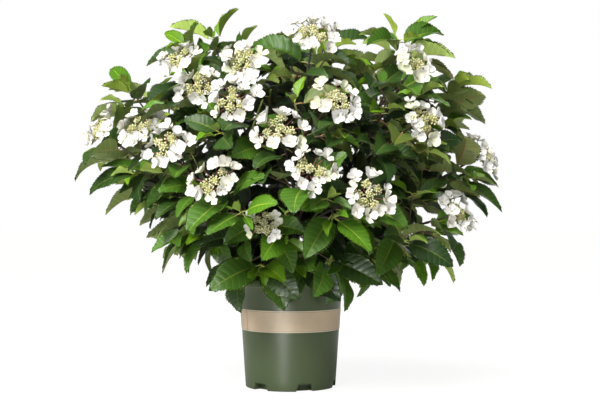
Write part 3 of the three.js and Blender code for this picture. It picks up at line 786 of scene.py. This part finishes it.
def add_bead(pile, centre, axis, radius, slot, rings=3, sides=6):
    """A small round bud."""
    across = disc(axis)
    points = [centre - axis * radius]
    for ring in range(rings):
        turn = math.pi * (ring + 1) / (rings + 1)
        spokes = [spoke(across, 2 * math.pi * side / sides) for side in range(sides)]
        points += [centre - axis * radius * math.cos(turn) + way * radius * math.sin(turn) for way in spokes]
    points.append(centre + axis * radius)
    top, last = 1 + rings * sides, 1 + (rings - 1) * sides
    faces = [(0, 1 + (k + 1) % sides, 1 + k) for k in range(sides)]
    faces += [tuple(f) for f in grid_faces(rings, sides, closed=True) + 1]
    faces += [(last + k, last + (k + 1) % sides, top) for k in range(sides)]
    pile.add(points, faces, BLOOM_SLOTS[slot])


def add_floret(pile, centre, axis, size, keys):
    """A sterile floret: four cupped sepals that overlap, and a bead in the middle."""
    x, y, edge = PETAL
    spin = math.pi * vary(*keys, 1)
    chance = vary(*keys, 2)
    slot = BLOOM_SLOTS["petal_green" if chance < 0.1 else "petal_warm" if chance < 0.4 else "petal"]
    across = disc(axis)
    sepals = 3 if vary(*keys, 9) < 0.22 else 4
    for sepal in range(sepals):
        turn = spin + sepal * 2 * math.pi / sepals + 0.2 * (vary(*keys, 3, sepal) - 0.5)
        way = spoke(across, turn)
        side = np.cross(axis, way)
        length = size * (0.5 + 0.14 * (vary(*keys, 4, sepal) - 0.5))
        lift = math.radians(6 + 36 * vary(*keys, 5, sepal))
        wide = length * (0.96 + 0.16 * (vary(*keys, 8, sepal) - 0.5))
        cup = 0.32 + 0.26 * vary(*keys, 6, sepal)
        ruffle = 0.04 * np.sin(5 * y + 6 * vary(*keys, 7, sepal)) * edge
        forward = y * math.cos(lift) * length
        bowl = cup * (0.6 * edge**2 * np.sin(np.pi * 0.85 * np.clip(y, 0, 1)) + 0.7 * y**2 - 0.25 * y)
        height = (y * math.sin(lift) + bowl + ruffle) * length + (0.6 if sepal % 2 else 0)
        top = centre + way * forward[:, None] + side * (x * wide)[:, None] + axis * height[:, None]
        pile.add(top, PETAL_FACES[:, ::-1], slot)
        pile.add(top - axis * 0.35, PETAL_FACES, slot)
    add_bead(pile, centre + axis * size * 0.05, axis, size * 0.065, "bead")


def add_stalk(pile, start, leave, end, radii, sides, slot):
    """A short curved stalk from `start`, which it leaves along `leave`."""
    shares = np.linspace(0, 1, len(radii))[:, None]
    bend = start + leave * np.linalg.norm(end - start) * 0.5
    tube(pile, curve(start, bend, end, shares), radii, sides, BLOOM_SLOTS[slot])


def add_cluster(pile, heart, lean, dome, green, size, keys):
    """A dome of buds set in a spiral. Those whose chance is over `green` are pale."""
    across = disc(lean)
    add_bead(pile, heart, lean, dome * 0.8, "bud_dark", 3, 8)
    head, cluster = keys
    for bud in range(BUDS):
        tilt = math.acos(1 - 1.25 * (bud + 0.5) / BUDS)
        way = spoke(across, GOLDEN_ANGLE * bud) * math.sin(tilt) + lean * math.cos(tilt)
        spot = heart + way * dome * (0.84 + 0.5 * vary(*head, 47, cluster, bud))
        radius = (1.6 + 0.9 * vary(*head, 48, cluster, bud)) * size
        chance = vary(*head, 49, cluster, bud)
        tint = "bud_dark" if chance < 0.1 else "bud_pale" if chance > green else "bud"
        add_bead(pile, spot, way, radius, tint, 2, 5)


def add_bloom(pile, bloom, keys, openness=1.0):
    """A lacecap head: rays split under domed clusters of buds, with sterile florets round them."""
    centre, axis = bloom["centre"], bloom["axis"]
    reach = BLOOM.reach * (0.94 + 0.12 * vary(*keys, 41)) * (0.6 + 0.4 * openness)
    across = disc(axis, 360 * vary(*keys, 42))
    fork = centre - axis * 17

    def on_disc(turn, share, height):
        return centre + spoke(across, turn) * reach * share + axis * height

    tube(pile, np.array([fork - axis * 6, fork, fork + axis * 3]), [2.1, 2.4, 1.2], 6, BLOOM_SLOTS["ray"])
    add_stalk(pile, centre, -axis, fork, [2.0, 2.1, 2.2], 6, "ray")
    green = (0.2 + 0.6 * vary(*keys, 58)) * openness
    for cluster in range(CLUSTERS):
        inner = cluster == CLUSTERS - 1
        if not inner and vary(*keys, 59, cluster) < 0.1:
            continue
        turn = 2 * math.pi * (cluster + 0.6 * vary(*keys, 43, cluster)) / (CLUSTERS - 1)
        share = 0.04 if inner else 0.36 + 0.14 * vary(*keys, 44, cluster)
        heart = on_disc(turn, share, (3 if inner else 0) + 9 * (vary(*keys, 45, cluster) - 0.5))
        lean = unit(axis + spoke(across, turn) * (0 if inner else 0.55))
        add_stalk(pile, fork, axis, heart, [1.15, 1.0, 0.9, 0.8], 5, "ray")
        dome = reach * (0.15 + 0.06 * vary(*keys, 46, cluster))
        add_cluster(pile, heart, lean, dome, green, 0.85 + 0.15 * openness, (keys, cluster))
    florets = 11 if openness > 0.9 else 9
    for floret in range(florets):
        turn = 2 * math.pi * (floret + 0.6 * (vary(*keys, 50, floret) - 0.5)) / florets
        share = 0.78 + 0.42 * (vary(*keys, 51, floret) - 0.5)
        spot = on_disc(turn, share, 12 * (vary(*keys, 52, floret) - 0.5) + 14 * (1 - share))
        out = spoke(across, turn)
        lean = np.array([vary(*keys, 56, floret) - 0.5, vary(*keys, 57, floret) - 0.5, -0.1])
        facing = unit(axis + out * (0.35 + 0.9 * (vary(*keys, 53, floret) - 0.25)) + lean * 0.8)
        size = (27 + 10 * vary(*keys, 54, floret)) * (0.3 + 0.7 * openness)
        add_floret(pile, spot, facing, size, (*keys, 55, floret))
        start = on_disc(turn, 0.24, -4)
        radii = [0.85, 0.7, 0.6, 0.6, 0.75]
        add_stalk(pile, start, out * 0.9 + axis * 0.3, spot - facing, radii, 4, "pedicel")


# ---- materials ----


def new_material(name, colour, roughness):
    material = bpy.data.materials.new(name)
    material.use_nodes = True
    shader = material.node_tree.nodes["Principled BSDF"]
    shader.inputs["Base Color"].default_value = (*colour, 1)
    shader.inputs["Roughness"].default_value = roughness
    return material, material.node_tree, shader


def add_noise(tree, scale, detail=6.0, rough=0.6):
    where = tree.nodes.new("ShaderNodeTexCoord")
    noise = tree.nodes.new("ShaderNodeTexNoise")
    for name, value in dict(Scale=scale, Detail=detail, Roughness=rough).items():
        noise.inputs[name].default_value = value
    tree.links.new(where.outputs["Object"], noise.inputs["Vector"])
    return noise.outputs["Fac"]


def add_bump(tree, shader, height, distance, strength=1.0):
    bump = tree.nodes.new("ShaderNodeBump")
    bump.inputs["Distance"].default_value = distance
    bump.inputs["Strength"].default_value = strength
    tree.links.new(height, bump.inputs["Height"])
    tree.links.new(bump.outputs["Normal"], shader.inputs["Normal"])


def vary_roughness(tree, shader, source, low, high):
    spread = tree.nodes.new("ShaderNodeMapRange")
    spread.inputs["To Min"].default_value = low
    spread.inputs["To Max"].default_value = high
    tree.links.new(source, spread.inputs["Value"])
    tree.links.new(spread.outputs["Result"], shader.inputs["Roughness"])


def vary_colour(tree, shader, source, stops):
    ramp = tree.nodes.new("ShaderNodeValToRGB")
    elements = ramp.color_ramp.elements
    for k, (place, colour) in enumerate(stops):
        element = elements[k] if k < 2 else elements.new(place)
        element.position = place
        element.color = (*colour, 1)
    tree.links.new(source, ramp.inputs["Fac"])
    tree.links.new(ramp.outputs["Color"], shader.inputs["Base Color"])


def leaf_materials():
    """Six plain colours for each tone of green. Only gloss and the fine grain come from noise."""
    made = []
    for tone, colours in GREENS.items():
        for part, colour in zip(LEAF_PARTS, colours):
            material, tree, shader = new_material(f"leaf_{tone}_{part}", colour, 0.42)
            grain = add_noise(tree, 420, 4)
            top = part in ("blade", "vein")
            vary_roughness(tree, shader, grain, 0.3 if top else 0.5, 0.5 if top else 0.7)
            add_bump(tree, shader, grain, 0.0004 if top else 0.0005, 0.6)
            shader.inputs["Specular IOR Level"].default_value = 0.32 if top else 0.25
            made.append(material)
    return made


def blossom_materials():
    made = []
    for name, colour in BLOOM_COLOURS.items():
        material, tree, shader = new_material(f"blossom_{name}", colour, 0.6)
        grain = add_noise(tree, 900 if "petal" in name else 1500, 3)
        vary_roughness(tree, shader, grain, 0.45, 0.7)
        add_bump(tree, shader, grain, 0.0002, 0.5)
        made.append(material)
    return made


def bark_material(name, dark, mid, light, scale):
    material, tree, shader = new_material(name, mid, 0.6)
    noise = add_noise(tree, scale, 8, 0.65)
    vary_colour(tree, shader, noise, [(0.32, dark), (0.68, light), (0.5, mid)])
    vary_roughness(tree, shader, noise, 0.4, 0.75)
    add_bump(tree, shader, noise, 0.0012)
    return material


# ---- pot, band and soil ----

POT_FLOOR = 16
LIP_START = POT.height - POT.lip_height
SEAM_AZIMUTH = 302
COLUMN_STEP = 2.5
NOTCH_STEP = 360 / NOTCH.count
NOTCH_HALF = NOTCH.width_degrees / 2
NOTCH_SLANT = math.degrees(NOTCH.slope / POT.foot_radius)


def wall_radius(height):
    return POT.foot_radius + (POT.neck_radius - POT.foot_radius) * height / LIP_START


def pot_angles():
    """Azimuths round the pot, with one at each corner of each notch."""
    turns = [sign * turn for sign in (-1, 1) for turn in (NOTCH_HALF, NOTCH_HALF - NOTCH_SLANT)]
    middles = [NOTCH.azimuth + NOTCH_STEP * k for k in range(NOTCH.count)]
    corners = np.array([middle + turn for middle in middles for turn in turns]) % 360
    plain = np.arange(0, 360, COLUMN_STEP)
    apart = np.abs((plain[:, None] - corners[None] + 180) % 360 - 180).min(axis=1)
    return np.sort(np.concatenate([plain[apart > 0.9], corners]))


def notch_depth(azimuth):
    """How high the foot is cut at an azimuth."""
    off = abs((azimuth - NOTCH.azimuth + NOTCH_STEP / 2) % NOTCH_STEP - NOTCH_STEP / 2)
    return NOTCH.height * min(max((NOTCH_HALF - off) / NOTCH_SLANT, 0), 1)


def pot_profile(azimuth):
    """From the middle of the underside out to the foot, up the wall, over the lip and down inside."""
    cut = notch_depth(azimuth)
    recess = cut if cut >= 0.5 else 0
    step, foot, lip, top = NOTCH.inner_radius, POT.foot_radius, POT.lip_radius, POT.height
    inner = wall_radius(top) - POT.wall
    heights = [cut + 3, 22, 36, 60, BAND.low, 148, BAND.high, 200, LIP_START - 2.5]
    return [
        (0, 0), (step - 20, 0), (step - 1, 0), (step, 0.6), (step, recess * 0.5 + 0.6), (step, recess + 0.6),
        (step + 0.4, recess), (foot - 2.5, cut), (foot - 0.9, cut + 0.35), (foot - 0.15, cut + 1.2),
        *[(wall_radius(z), z) for z in heights],
        (wall_radius(LIP_START) + 0.5, LIP_START - 1), (lip - 1.6, LIP_START + 0.1),
        (lip - 0.4, LIP_START + 0.7), (lip, LIP_START + 2), (lip, LIP_START + 8), (lip, top - 2.2),
        (lip - 0.5, top - 0.8), (lip - 1.6, top), (inner + 1.3, top), (inner + 0.3, top - 0.5),
        (inner, top - 1.6),
        *[(wall_radius(z) - POT.wall, z) for z in (200, 100, POT_FLOOR)],
        (0, POT_FLOOR),
    ]


def build_pot():
    """A turned shell whose profile changes with the azimuth, with painted shade: a near-black material on the
    faces that look down.
    """
    plastic, tree, shader = new_material("pot_plastic", (0.068, 0.099, 0.042), 0.32)
    broad = add_noise(tree, 14, 3, 0.5)
    fine = add_noise(tree, 850, 3, 0.5)
    vary_colour(tree, shader, broad, [(0.3, (0.064, 0.094, 0.040)), (0.7, (0.072, 0.104, 0.045))])
    vary_roughness(tree, shader, broad, 0.3, 0.38)
    add_bump(tree, shader, fine, 0.00012, 0.6)
    shader.inputs["Specular IOR Level"].default_value = 0.4
    # Painted shade: a near-black material for the downward faces, the pot's bottom and the ceilings of the
    # foot notches.
    under, tree, shader = new_material("pot_underside_painted_shade", (0.006, 0.008, 0.005), 0.8)
    shader.inputs["Specular IOR Level"].default_value = 0.1
    add_bump(tree, shader, add_noise(tree, 300, 5), 0.0003)
    azimuths = pot_angles()
    profiles = [pot_profile(azimuth) for azimuth in azimuths]
    points = [polar(azimuth, *place) for row in zip(*profiles) for azimuth, place in zip(azimuths, row)]
    pile = Pile()
    pile.add(points, grid_faces(len(profiles[0]), len(azimuths), closed=True), 0)
    pot = pile.build("pot_shell", [plastic, under])
    weld(pot.data, 0.00002, 0.00001)
    pot.data.set_sharp_from_angle(angle=math.radians(50))
    # Painted shade goes on the downward faces inside the foot, up to the top of the notches.
    for face in pot.data.polygons:
        inside = math.hypot(face.center.x, face.center.y) < (POT.foot_radius - 2) * MM
        if inside and face.center.z < (NOTCH.height + 1) * MM and face.normal.z < -0.5:
            face.material_index = 1
    mount(pot, "pot", "pot")


BAND_COLOURS = dict(paper=(0.70, 0.545, 0.39), line=(0.38, 0.29, 0.19), seam=(0.045, 0.055, 0.03),
                    margin=(0.85, 0.73, 0.58))
PAPER, LINE, SEAM, MARGIN = range(len(BAND_COLOURS))


def band_materials():
    made = []
    for name, colour in BAND_COLOURS.items():
        material, tree, shader = new_material(f"band_{name}", colour, 0.5)
        grain = add_noise(tree, 60, 5)
        if name == "paper":
            vary_colour(tree, shader, grain, [(0.3, (0.67, 0.52, 0.372)), (0.7, (0.73, 0.57, 0.41))])
        vary_roughness(tree, shader, grain, 0.42, 0.6)
        add_bump(tree, shader, add_noise(tree, 700, 3), 0.00008, 0.6)
        made.append(material)
    return made


def build_band():
    """A blank band with pale margins, a thin line inside each of them and a double line at its seam."""
    low, high, thick = BAND.low, BAND.high, BAND.thickness
    heights = [low + rise for rise in (0.3, 2.0, 2.9, 12, 23)] + [high - fall for fall in (12, 2.9, 2.0, 0.3)]
    ring = [(wall_radius(z) + thick, z) for z in heights]
    ring = [(wall_radius(low) + 0.02, low), *ring, (wall_radius(high) + 0.02, high)]
    row_slots = np.array([PAPER, MARGIN, LINE, PAPER, PAPER, PAPER, PAPER, LINE, MARGIN, PAPER])
    seam = SEAM_AZIMUTH + np.array([-0.9, -0.5, 0.25, 0.65])
    azimuths = np.sort(np.concatenate([np.arange(0, 360, COLUMN_STEP), seam]))
    columns = len(azimuths)
    faces = grid_faces(len(ring), columns, closed=True)
    rows = np.arange(len(faces)) // (2 * columns)
    on_seam = np.isin(azimuths[(np.arange(len(faces)) // 2) % columns], seam[::2])
    on_seam &= (rows > 0) & (rows < len(ring) - 2)
    pile = Pile()
    pile.add([polar(azimuth, *place) for place in ring for azimuth in azimuths], faces,
             np.where(on_seam, SEAM, row_slots[rows]))
    band = pile.build("label_film", band_materials())
    band.data.set_sharp_from_angle(angle=math.radians(40))
    mount(band, "label_band", "label_band")


SOIL_RINGS = 34
SOIL_COLUMNS = 72
SOIL_DEPTH = 40
SOIL_GAP = 0.6
CHIPS = 420
CHIP_FOOT = np.array([(-1, -0.7, -1), (-0.6, 1, -1), (0.9, 0.8, -1), (1, -0.9, -1)])
CHIP_CORNERS = np.concatenate([CHIP_FOOT, CHIP_FOOT * (0.8, 0.75, -1)])
CHIP_SIDES = [(3, 2, 1, 0), (4, 5, 6, 7), (0, 1, 5, 4), (1, 2, 6, 5), (2, 3, 7, 6), (3, 0, 4, 7)]
CHIP_FACES = [half for a, b, c, d in CHIP_SIDES for half in ((a, b, c), (a, c, d))]


def soil_height(x, y):
    """The top of the potting mix: a low mound with lumps."""
    lumps = 1.6 * math.sin(0.11 * x + 1) * math.sin(0.13 * y)
    lumps += 0.8 * math.sin(0.31 * x) * math.sin(0.27 * y + 2)
    edge = min(max((108 - math.hypot(x, y)) / 30, 0), 1)
    return SOIL.top - SOIL.mound * (1 - edge) + (lumps - 2.2) * (0.4 + 0.6 * edge)


def soil_radius(height):
    return wall_radius(height) - POT.wall - SOIL_GAP


def add_chip(pile, key, reach):
    """A chip of bark that lies on the potting mix."""
    spot = polar(360 * vary(key, 73), reach * math.sqrt(vary(key, 72)), 0)
    spot[2] = soil_height(spot[0], spot[1]) + 0.6
    size = np.array([2 + 5 * vary(key, 74), 1.2 + 2.5 * vary(key, 75), 0.7 + 1.2 * vary(key, 76)])
    turn, tip = 2 * math.pi * vary(key, 77), 0.6 * (vary(key, 78) - 0.5)
    ahead = np.array([math.cos(turn) * math.cos(tip), math.sin(turn) * math.cos(tip), math.sin(tip)])
    side = np.array([-math.sin(turn), math.cos(turn), 0])
    worn = 0.8 + 0.4 * np.array([vary(key, 79, corner) for corner in range(8)])
    points = spot + CHIP_CORNERS * worn[:, None] * size @ np.array([ahead, side, np.cross(ahead, side)])
    points[:, 2] = np.minimum(points[:, 2], POT.height - 4)
    pile.add(points, CHIP_FACES, 1)


def build_soil():
    grain, tree, shader = new_material("potting_mix_grain", (0.03, 0.021, 0.014), 0.9)
    noise = add_noise(tree, 220, 9, 0.7)
    vary_colour(tree, shader, noise, [(0.3, (0.013, 0.009, 0.006)), (0.72, (0.060, 0.040, 0.025))])
    add_bump(tree, shader, noise, 0.003)
    browns = (0.03, 0.016, 0.009), (0.075, 0.042, 0.024), (0.14, 0.09, 0.055)
    chip = bark_material("potting_mix_chip", *browns, 160)
    inner = soil_radius(SOIL.top - SOIL.mound)
    bottom = SOIL.top - SOIL_DEPTH
    turns = [360 * column / SOIL_COLUMNS for column in range(SOIL_COLUMNS)]
    points = []
    for ring in range(SOIL_RINGS + 1):
        for column, turn in enumerate(turns):
            x, y, _ = polar(turn, inner * ring / SOIL_RINGS, 0)
            jitter = 1.4 * (vary(ring, column, 71) - 0.5) if ring else 0
            points.append((x, y, soil_height(x, y) + jitter))
    points += [polar(turn, soil_radius(bottom), bottom) for turn in turns]
    points += [(0, 0, bottom)] * SOIL_COLUMNS
    pile = Pile()
    pile.add(points, grid_faces(SOIL_RINGS + 3, SOIL_COLUMNS, closed=True), 0)
    for key in range(CHIPS):
        add_chip(pile, key, inner * 0.96)
    soil = pile.build("potting_mix_top", [grain, chip], smooth=False)
    weld(soil.data, 0.00001)
    mount(soil, "potting_mix", "soil")


# ---- stool and canes ----

STOOL_SHAPE = [(STOOL.flare + 1, -2), (STOOL.flare, 2), (33, 9), (STOOL.radius, 16), (29, 24), (27, 32),
               (21, 39), (13.5, 43.5), (6, 45), (0.01, 45)]
STOOL_RINGS = 40
STOOL_COLUMNS = 96


def ridged(key):
    """Shallow ridges that run along a limb and wander round it."""

    def relief(ring, turns):
        wander = 0.25 * ring + 3 * vary(key, 83)
        wave = 0.035 * np.sin(5 * turns + 0.3 * wander) + 0.02 * np.sin(9 * turns - 0.5 * wander)
        return 1 + wave + 0.025 * (vary(key, ring, 84) - 0.5)

    return relief


def build_stool(material):
    """A knobbly woody base with ridges, and a few short dead stubs of old canes."""
    shares = np.linspace(0, len(STOOL_SHAPE) - 1, STOOL_RINGS)
    radii, heights = (np.interp(shares, range(len(STOOL_SHAPE)), values) for values in zip(*STOOL_SHAPE))
    points = []
    for ring, (radius, height) in enumerate(zip(radii, heights)):
        for column in range(STOOL_COLUMNS):
            turn = 2 * math.pi * column / STOOL_COLUMNS
            ridge = 0.05 * math.sin(7 * turn + 0.1 * height) + 0.03 * math.sin(19 * turn + 0.4 * height)
            knob = 0.04 * math.sin(3 * turn + 0.3 * height) + 0.02 * (vary(ring, column, 81) - 0.5)
            points.append(polar(math.degrees(turn), radius * (0.94 + ridge + knob), SOIL.top + height))
    pile = Pile()
    pile.add(points, grid_faces(STOOL_RINGS, STOOL_COLUMNS, closed=True), 0)
    for k in range(5):
        root = polar(72 * k + 25, 20, SOIL.top + 26)
        lean = unit(polar(72 * k + 25, 0.35, 1))
        path = [root + lean * z for z in (0, 8, 16, 22 + 8 * vary(k, 82))]
        tube(pile, path, [4.4, 3.9, 3.6, 3.5], 12, 0, ridged(k))
    mount(pile.build("stool_wood", [material]), "bark", "stool")


def build_canes(canes, material):
    """Canes with ridged bark, and a swollen ring at each old node."""
    pile = Pile()
    for key, cane in enumerate(canes.values()):
        shares = np.linspace(-0.04, 1.0, max(int(cane.length / 4.5), 30))
        start = cane.tangent(0) * cane.length
        points = [cane.point(max(share, 0)) + start * min(share, 0) for share in shares]
        spacing = 34 + 8 * vary(key, 85)
        off = np.abs((shares * cane.length + spacing * vary(key, 86)) % spacing - spacing / 2)
        swell = 1 + 0.28 * np.exp(-((off / 2.6) ** 2))
        radii = [cane.radius(max(share, 0)) * size for share, size in zip(shares, swell)]
        tube(pile, points, radii, 14, 0, ridged(key))
    mount(pile.build("canes_bark", [material]), "bark", *[f"cane_{name}" for name in canes])


# ---- the masses: twigs, leaves and flower heads, each kind joined by the side of the plant ----

SIDES = ["front", "front_right", "back_right", "back", "back_left", "front_left"]
HIGH = 480
TWIG_SLOTS = dict(young=0, ripe=1, dark=2)
HALF_OPEN = ("front_low_left",)


def side_of(mass):
    """The side of the plant that a mass is on. The front is split in a low and a high part."""
    side = SIDES[int((mass.azimuth + 30) % 360 // 60)]
    return side + ("_high" if mass.height > HIGH else "_low") if side == "front" else side


def twig_materials():
    shades = dict(
        young=((0.10, 0.13, 0.03), (0.16, 0.20, 0.05), (0.22, 0.26, 0.07)),
        ripe=((0.05, 0.03, 0.022), (0.095, 0.055, 0.035), (0.15, 0.10, 0.055)),
        dark=((0.016, 0.009, 0.010), (0.032, 0.016, 0.017), (0.062, 0.034, 0.030)),
    )
    return [bark_material(f"twig_{name}", *shade, 260) for name, shade in shades.items()]


def add_twigs(pile, plant, index):
    spine = plant["spine"]
    knots = sorted({leaf["share"] for leaf in plant["leaves"] if leaf["shoot"] is spine})
    shoot_tube(pile, spine, 10, 26, TWIG_SLOTS["dark"], knots)
    for shoot in plant["shoots"]:
        shade = "ripe" if vary(index, *shoot.keys, 61) < 0.6 else "young"
        shoot_tube(pile, shoot, 8, 12, TWIG_SLOTS[shade], NODES)


def build_masses(canes):
    plants = [grow_mass(mass, index, canes) for index, mass in enumerate(MASSES)]
    middles = np.array([plant["spine"].point(0.6) for plant in plants])
    settle_shoots(plants, canes, middles)
    inner = settle_leaves(plants, canes, middles)
    sheets = [leaf_sheet(under=False), leaf_sheet(under=True)]
    kinds = dict(leaves=leaf_materials(), twigs=twig_materials(), blossom=blossom_materials())
    slots = dict(leaves="foliage", twigs="bark", blossom="blossom")
    cane_sides = [side_of(mass) for name in canes for mass in MASSES if mass.name == name]
    by_side = {}
    for index, mass in enumerate(MASSES):
        by_side.setdefault(side_of(mass), []).append(index)
    for side, indices in by_side.items():
        piles = {kind: Pile() for kind in kinds}
        for index in indices:
            plant = plants[index]
            for leaf in plant["leaves"] + plant["fine"]:
                add_leaf(piles["leaves"], leaf, sheets)
            add_twigs(piles["twigs"], plant, index)
            openness = 0.55 if MASSES[index].name in HALF_OPEN else 1.0
            for k, bloom in enumerate(plant["blooms"]):
                add_bloom(piles["blossom"], bloom, (index, k), openness)
        for leaf in inner:
            if cane_sides[leaf["keys"][0] - CANE_KEYS] == side:
                add_leaf(piles["leaves"], leaf, sheets)
        nodes = [f"mass_{MASSES[index].name}" for index in indices]
        for kind, pile in piles.items():
            if pile.count:
                mount(pile.build(f"{kind}_{side}", kinds[kind]), slots[kind], *nodes)


# ---- floor, light and camera ----

WARM = (1.0, 0.975, 0.92)
WHITE = (1, 1, 1)
FLOOR_HALF = 30.0
EYE = (0.0207, -2.570, 0.367)
TILT_DEGREES = 0.88


def add_light(name, kind, energy, colour):
    light = bpy.data.lights.new(name, kind)
    light.energy = energy
    light.color = colour
    return add_object(name, light)


def add_area_light(name, place, aim, size, power, colour=WHITE):
    lamp = add_light(name, "AREA", power, colour)
    lamp.data.shape = "RECTANGLE"
    lamp.data.size, lamp.data.size_y = size
    lamp.location = place
    lamp.rotation_euler = (Vector(aim) - Vector(place)).to_track_quat("-Z", "Y").to_euler()
    return lamp


def show_to_camera(tree, plain, bright, share):
    """The camera sees a share of the bright shader in place of the plain one, which lights the rest."""
    path = tree.nodes.new("ShaderNodeLightPath")
    times = tree.nodes.new("ShaderNodeMath")
    times.operation = "MULTIPLY"
    times.inputs[1].default_value = share
    mix = tree.nodes.new("ShaderNodeMixShader")
    tree.links.new(path.outputs["Is Camera Ray"], times.inputs[0])
    tree.links.new(times.outputs["Value"], mix.inputs["Fac"])
    tree.links.new(plain.outputs[0], mix.inputs[1])
    tree.links.new(bright.outputs[0], mix.inputs[2])
    output = next(node for node in tree.nodes if node.type.startswith("OUTPUT"))
    tree.links.new(mix.outputs["Shader"], output.inputs["Surface"])


def glow(tree, kind, strength):
    node = tree.nodes.new(kind)
    node.inputs["Color"].default_value = (*WHITE, 1)
    node.inputs["Strength"].default_value = strength
    return node


def build_floor():
    mesh = bpy.data.meshes.new("floor")
    corners = [(x * FLOOR_HALF, y * FLOOR_HALF, 0) for x, y in ((-1, -1), (1, -1), (1, 1), (-1, 1))]
    mesh.from_pydata(corners, [], [(0, 1, 2, 3)])
    material, tree, shader = new_material("floor_paper", (0.62, 0.62, 0.62), 0.95)
    show_to_camera(tree, shader, glow(tree, "ShaderNodeEmission", 1.17), 0.75)
    mesh.materials.append(material)
    add_object("floor", mesh)


def build_lights():
    world = bpy.data.worlds.new("studio")
    bpy.context.scene.world = world
    world.use_nodes = True
    tree = world.node_tree
    plain = tree.nodes["Background"]
    plain.inputs["Color"].default_value = (*WHITE, 1)
    plain.inputs["Strength"].default_value = 0.03
    show_to_camera(tree, plain, glow(tree, "ShaderNodeBackground", 1), 1)
    middle = (0, 0, 0.4)
    add_area_light("key", (-1.1, -2.4, 2.0), middle, (0.8, 1.4), 92, WARM)
    add_area_light("fill", (2.2, -2.0, 2.2), middle, (1.6, 1.8), 9)
    add_area_light("rear", (0.6, 2.4, 1.6), middle, (2.0, 1.6), 34)
    strip = add_area_light("strip", (-0.72, -2.4, 0.2), (0, 0, 0.12), (0.2, 0.36), 62)
    strip.visible_diffuse = False
    sky = add_light("sky", "SUN", 3.0, WARM)
    sky.data.angle = math.radians(50)
    sky.rotation_euler = (math.radians(28), math.radians(-16), 0)


def build_camera():
    camera = bpy.data.cameras.new("camera")
    camera.sensor_width = 36
    camera.lens = 70.2
    eye = add_object("camera", camera)
    eye.location = EYE
    eye.rotation_euler = (math.radians(90 + TILT_DEGREES), 0, 0)
    bpy.context.scene.camera = eye


canes = grow_canes()
bark = bark_material("bark_dark", (0.014, 0.008, 0.008), (0.034, 0.018, 0.017), (0.075, 0.045, 0.036), 190)
build_pot()
build_band()
build_soil()
build_stool(bark)
build_canes(canes, bark)
build_masses(canes)
build_floor()
build_lights()
build_camera()
bpy.context.scene.view_settings.view_transform = "Standard"
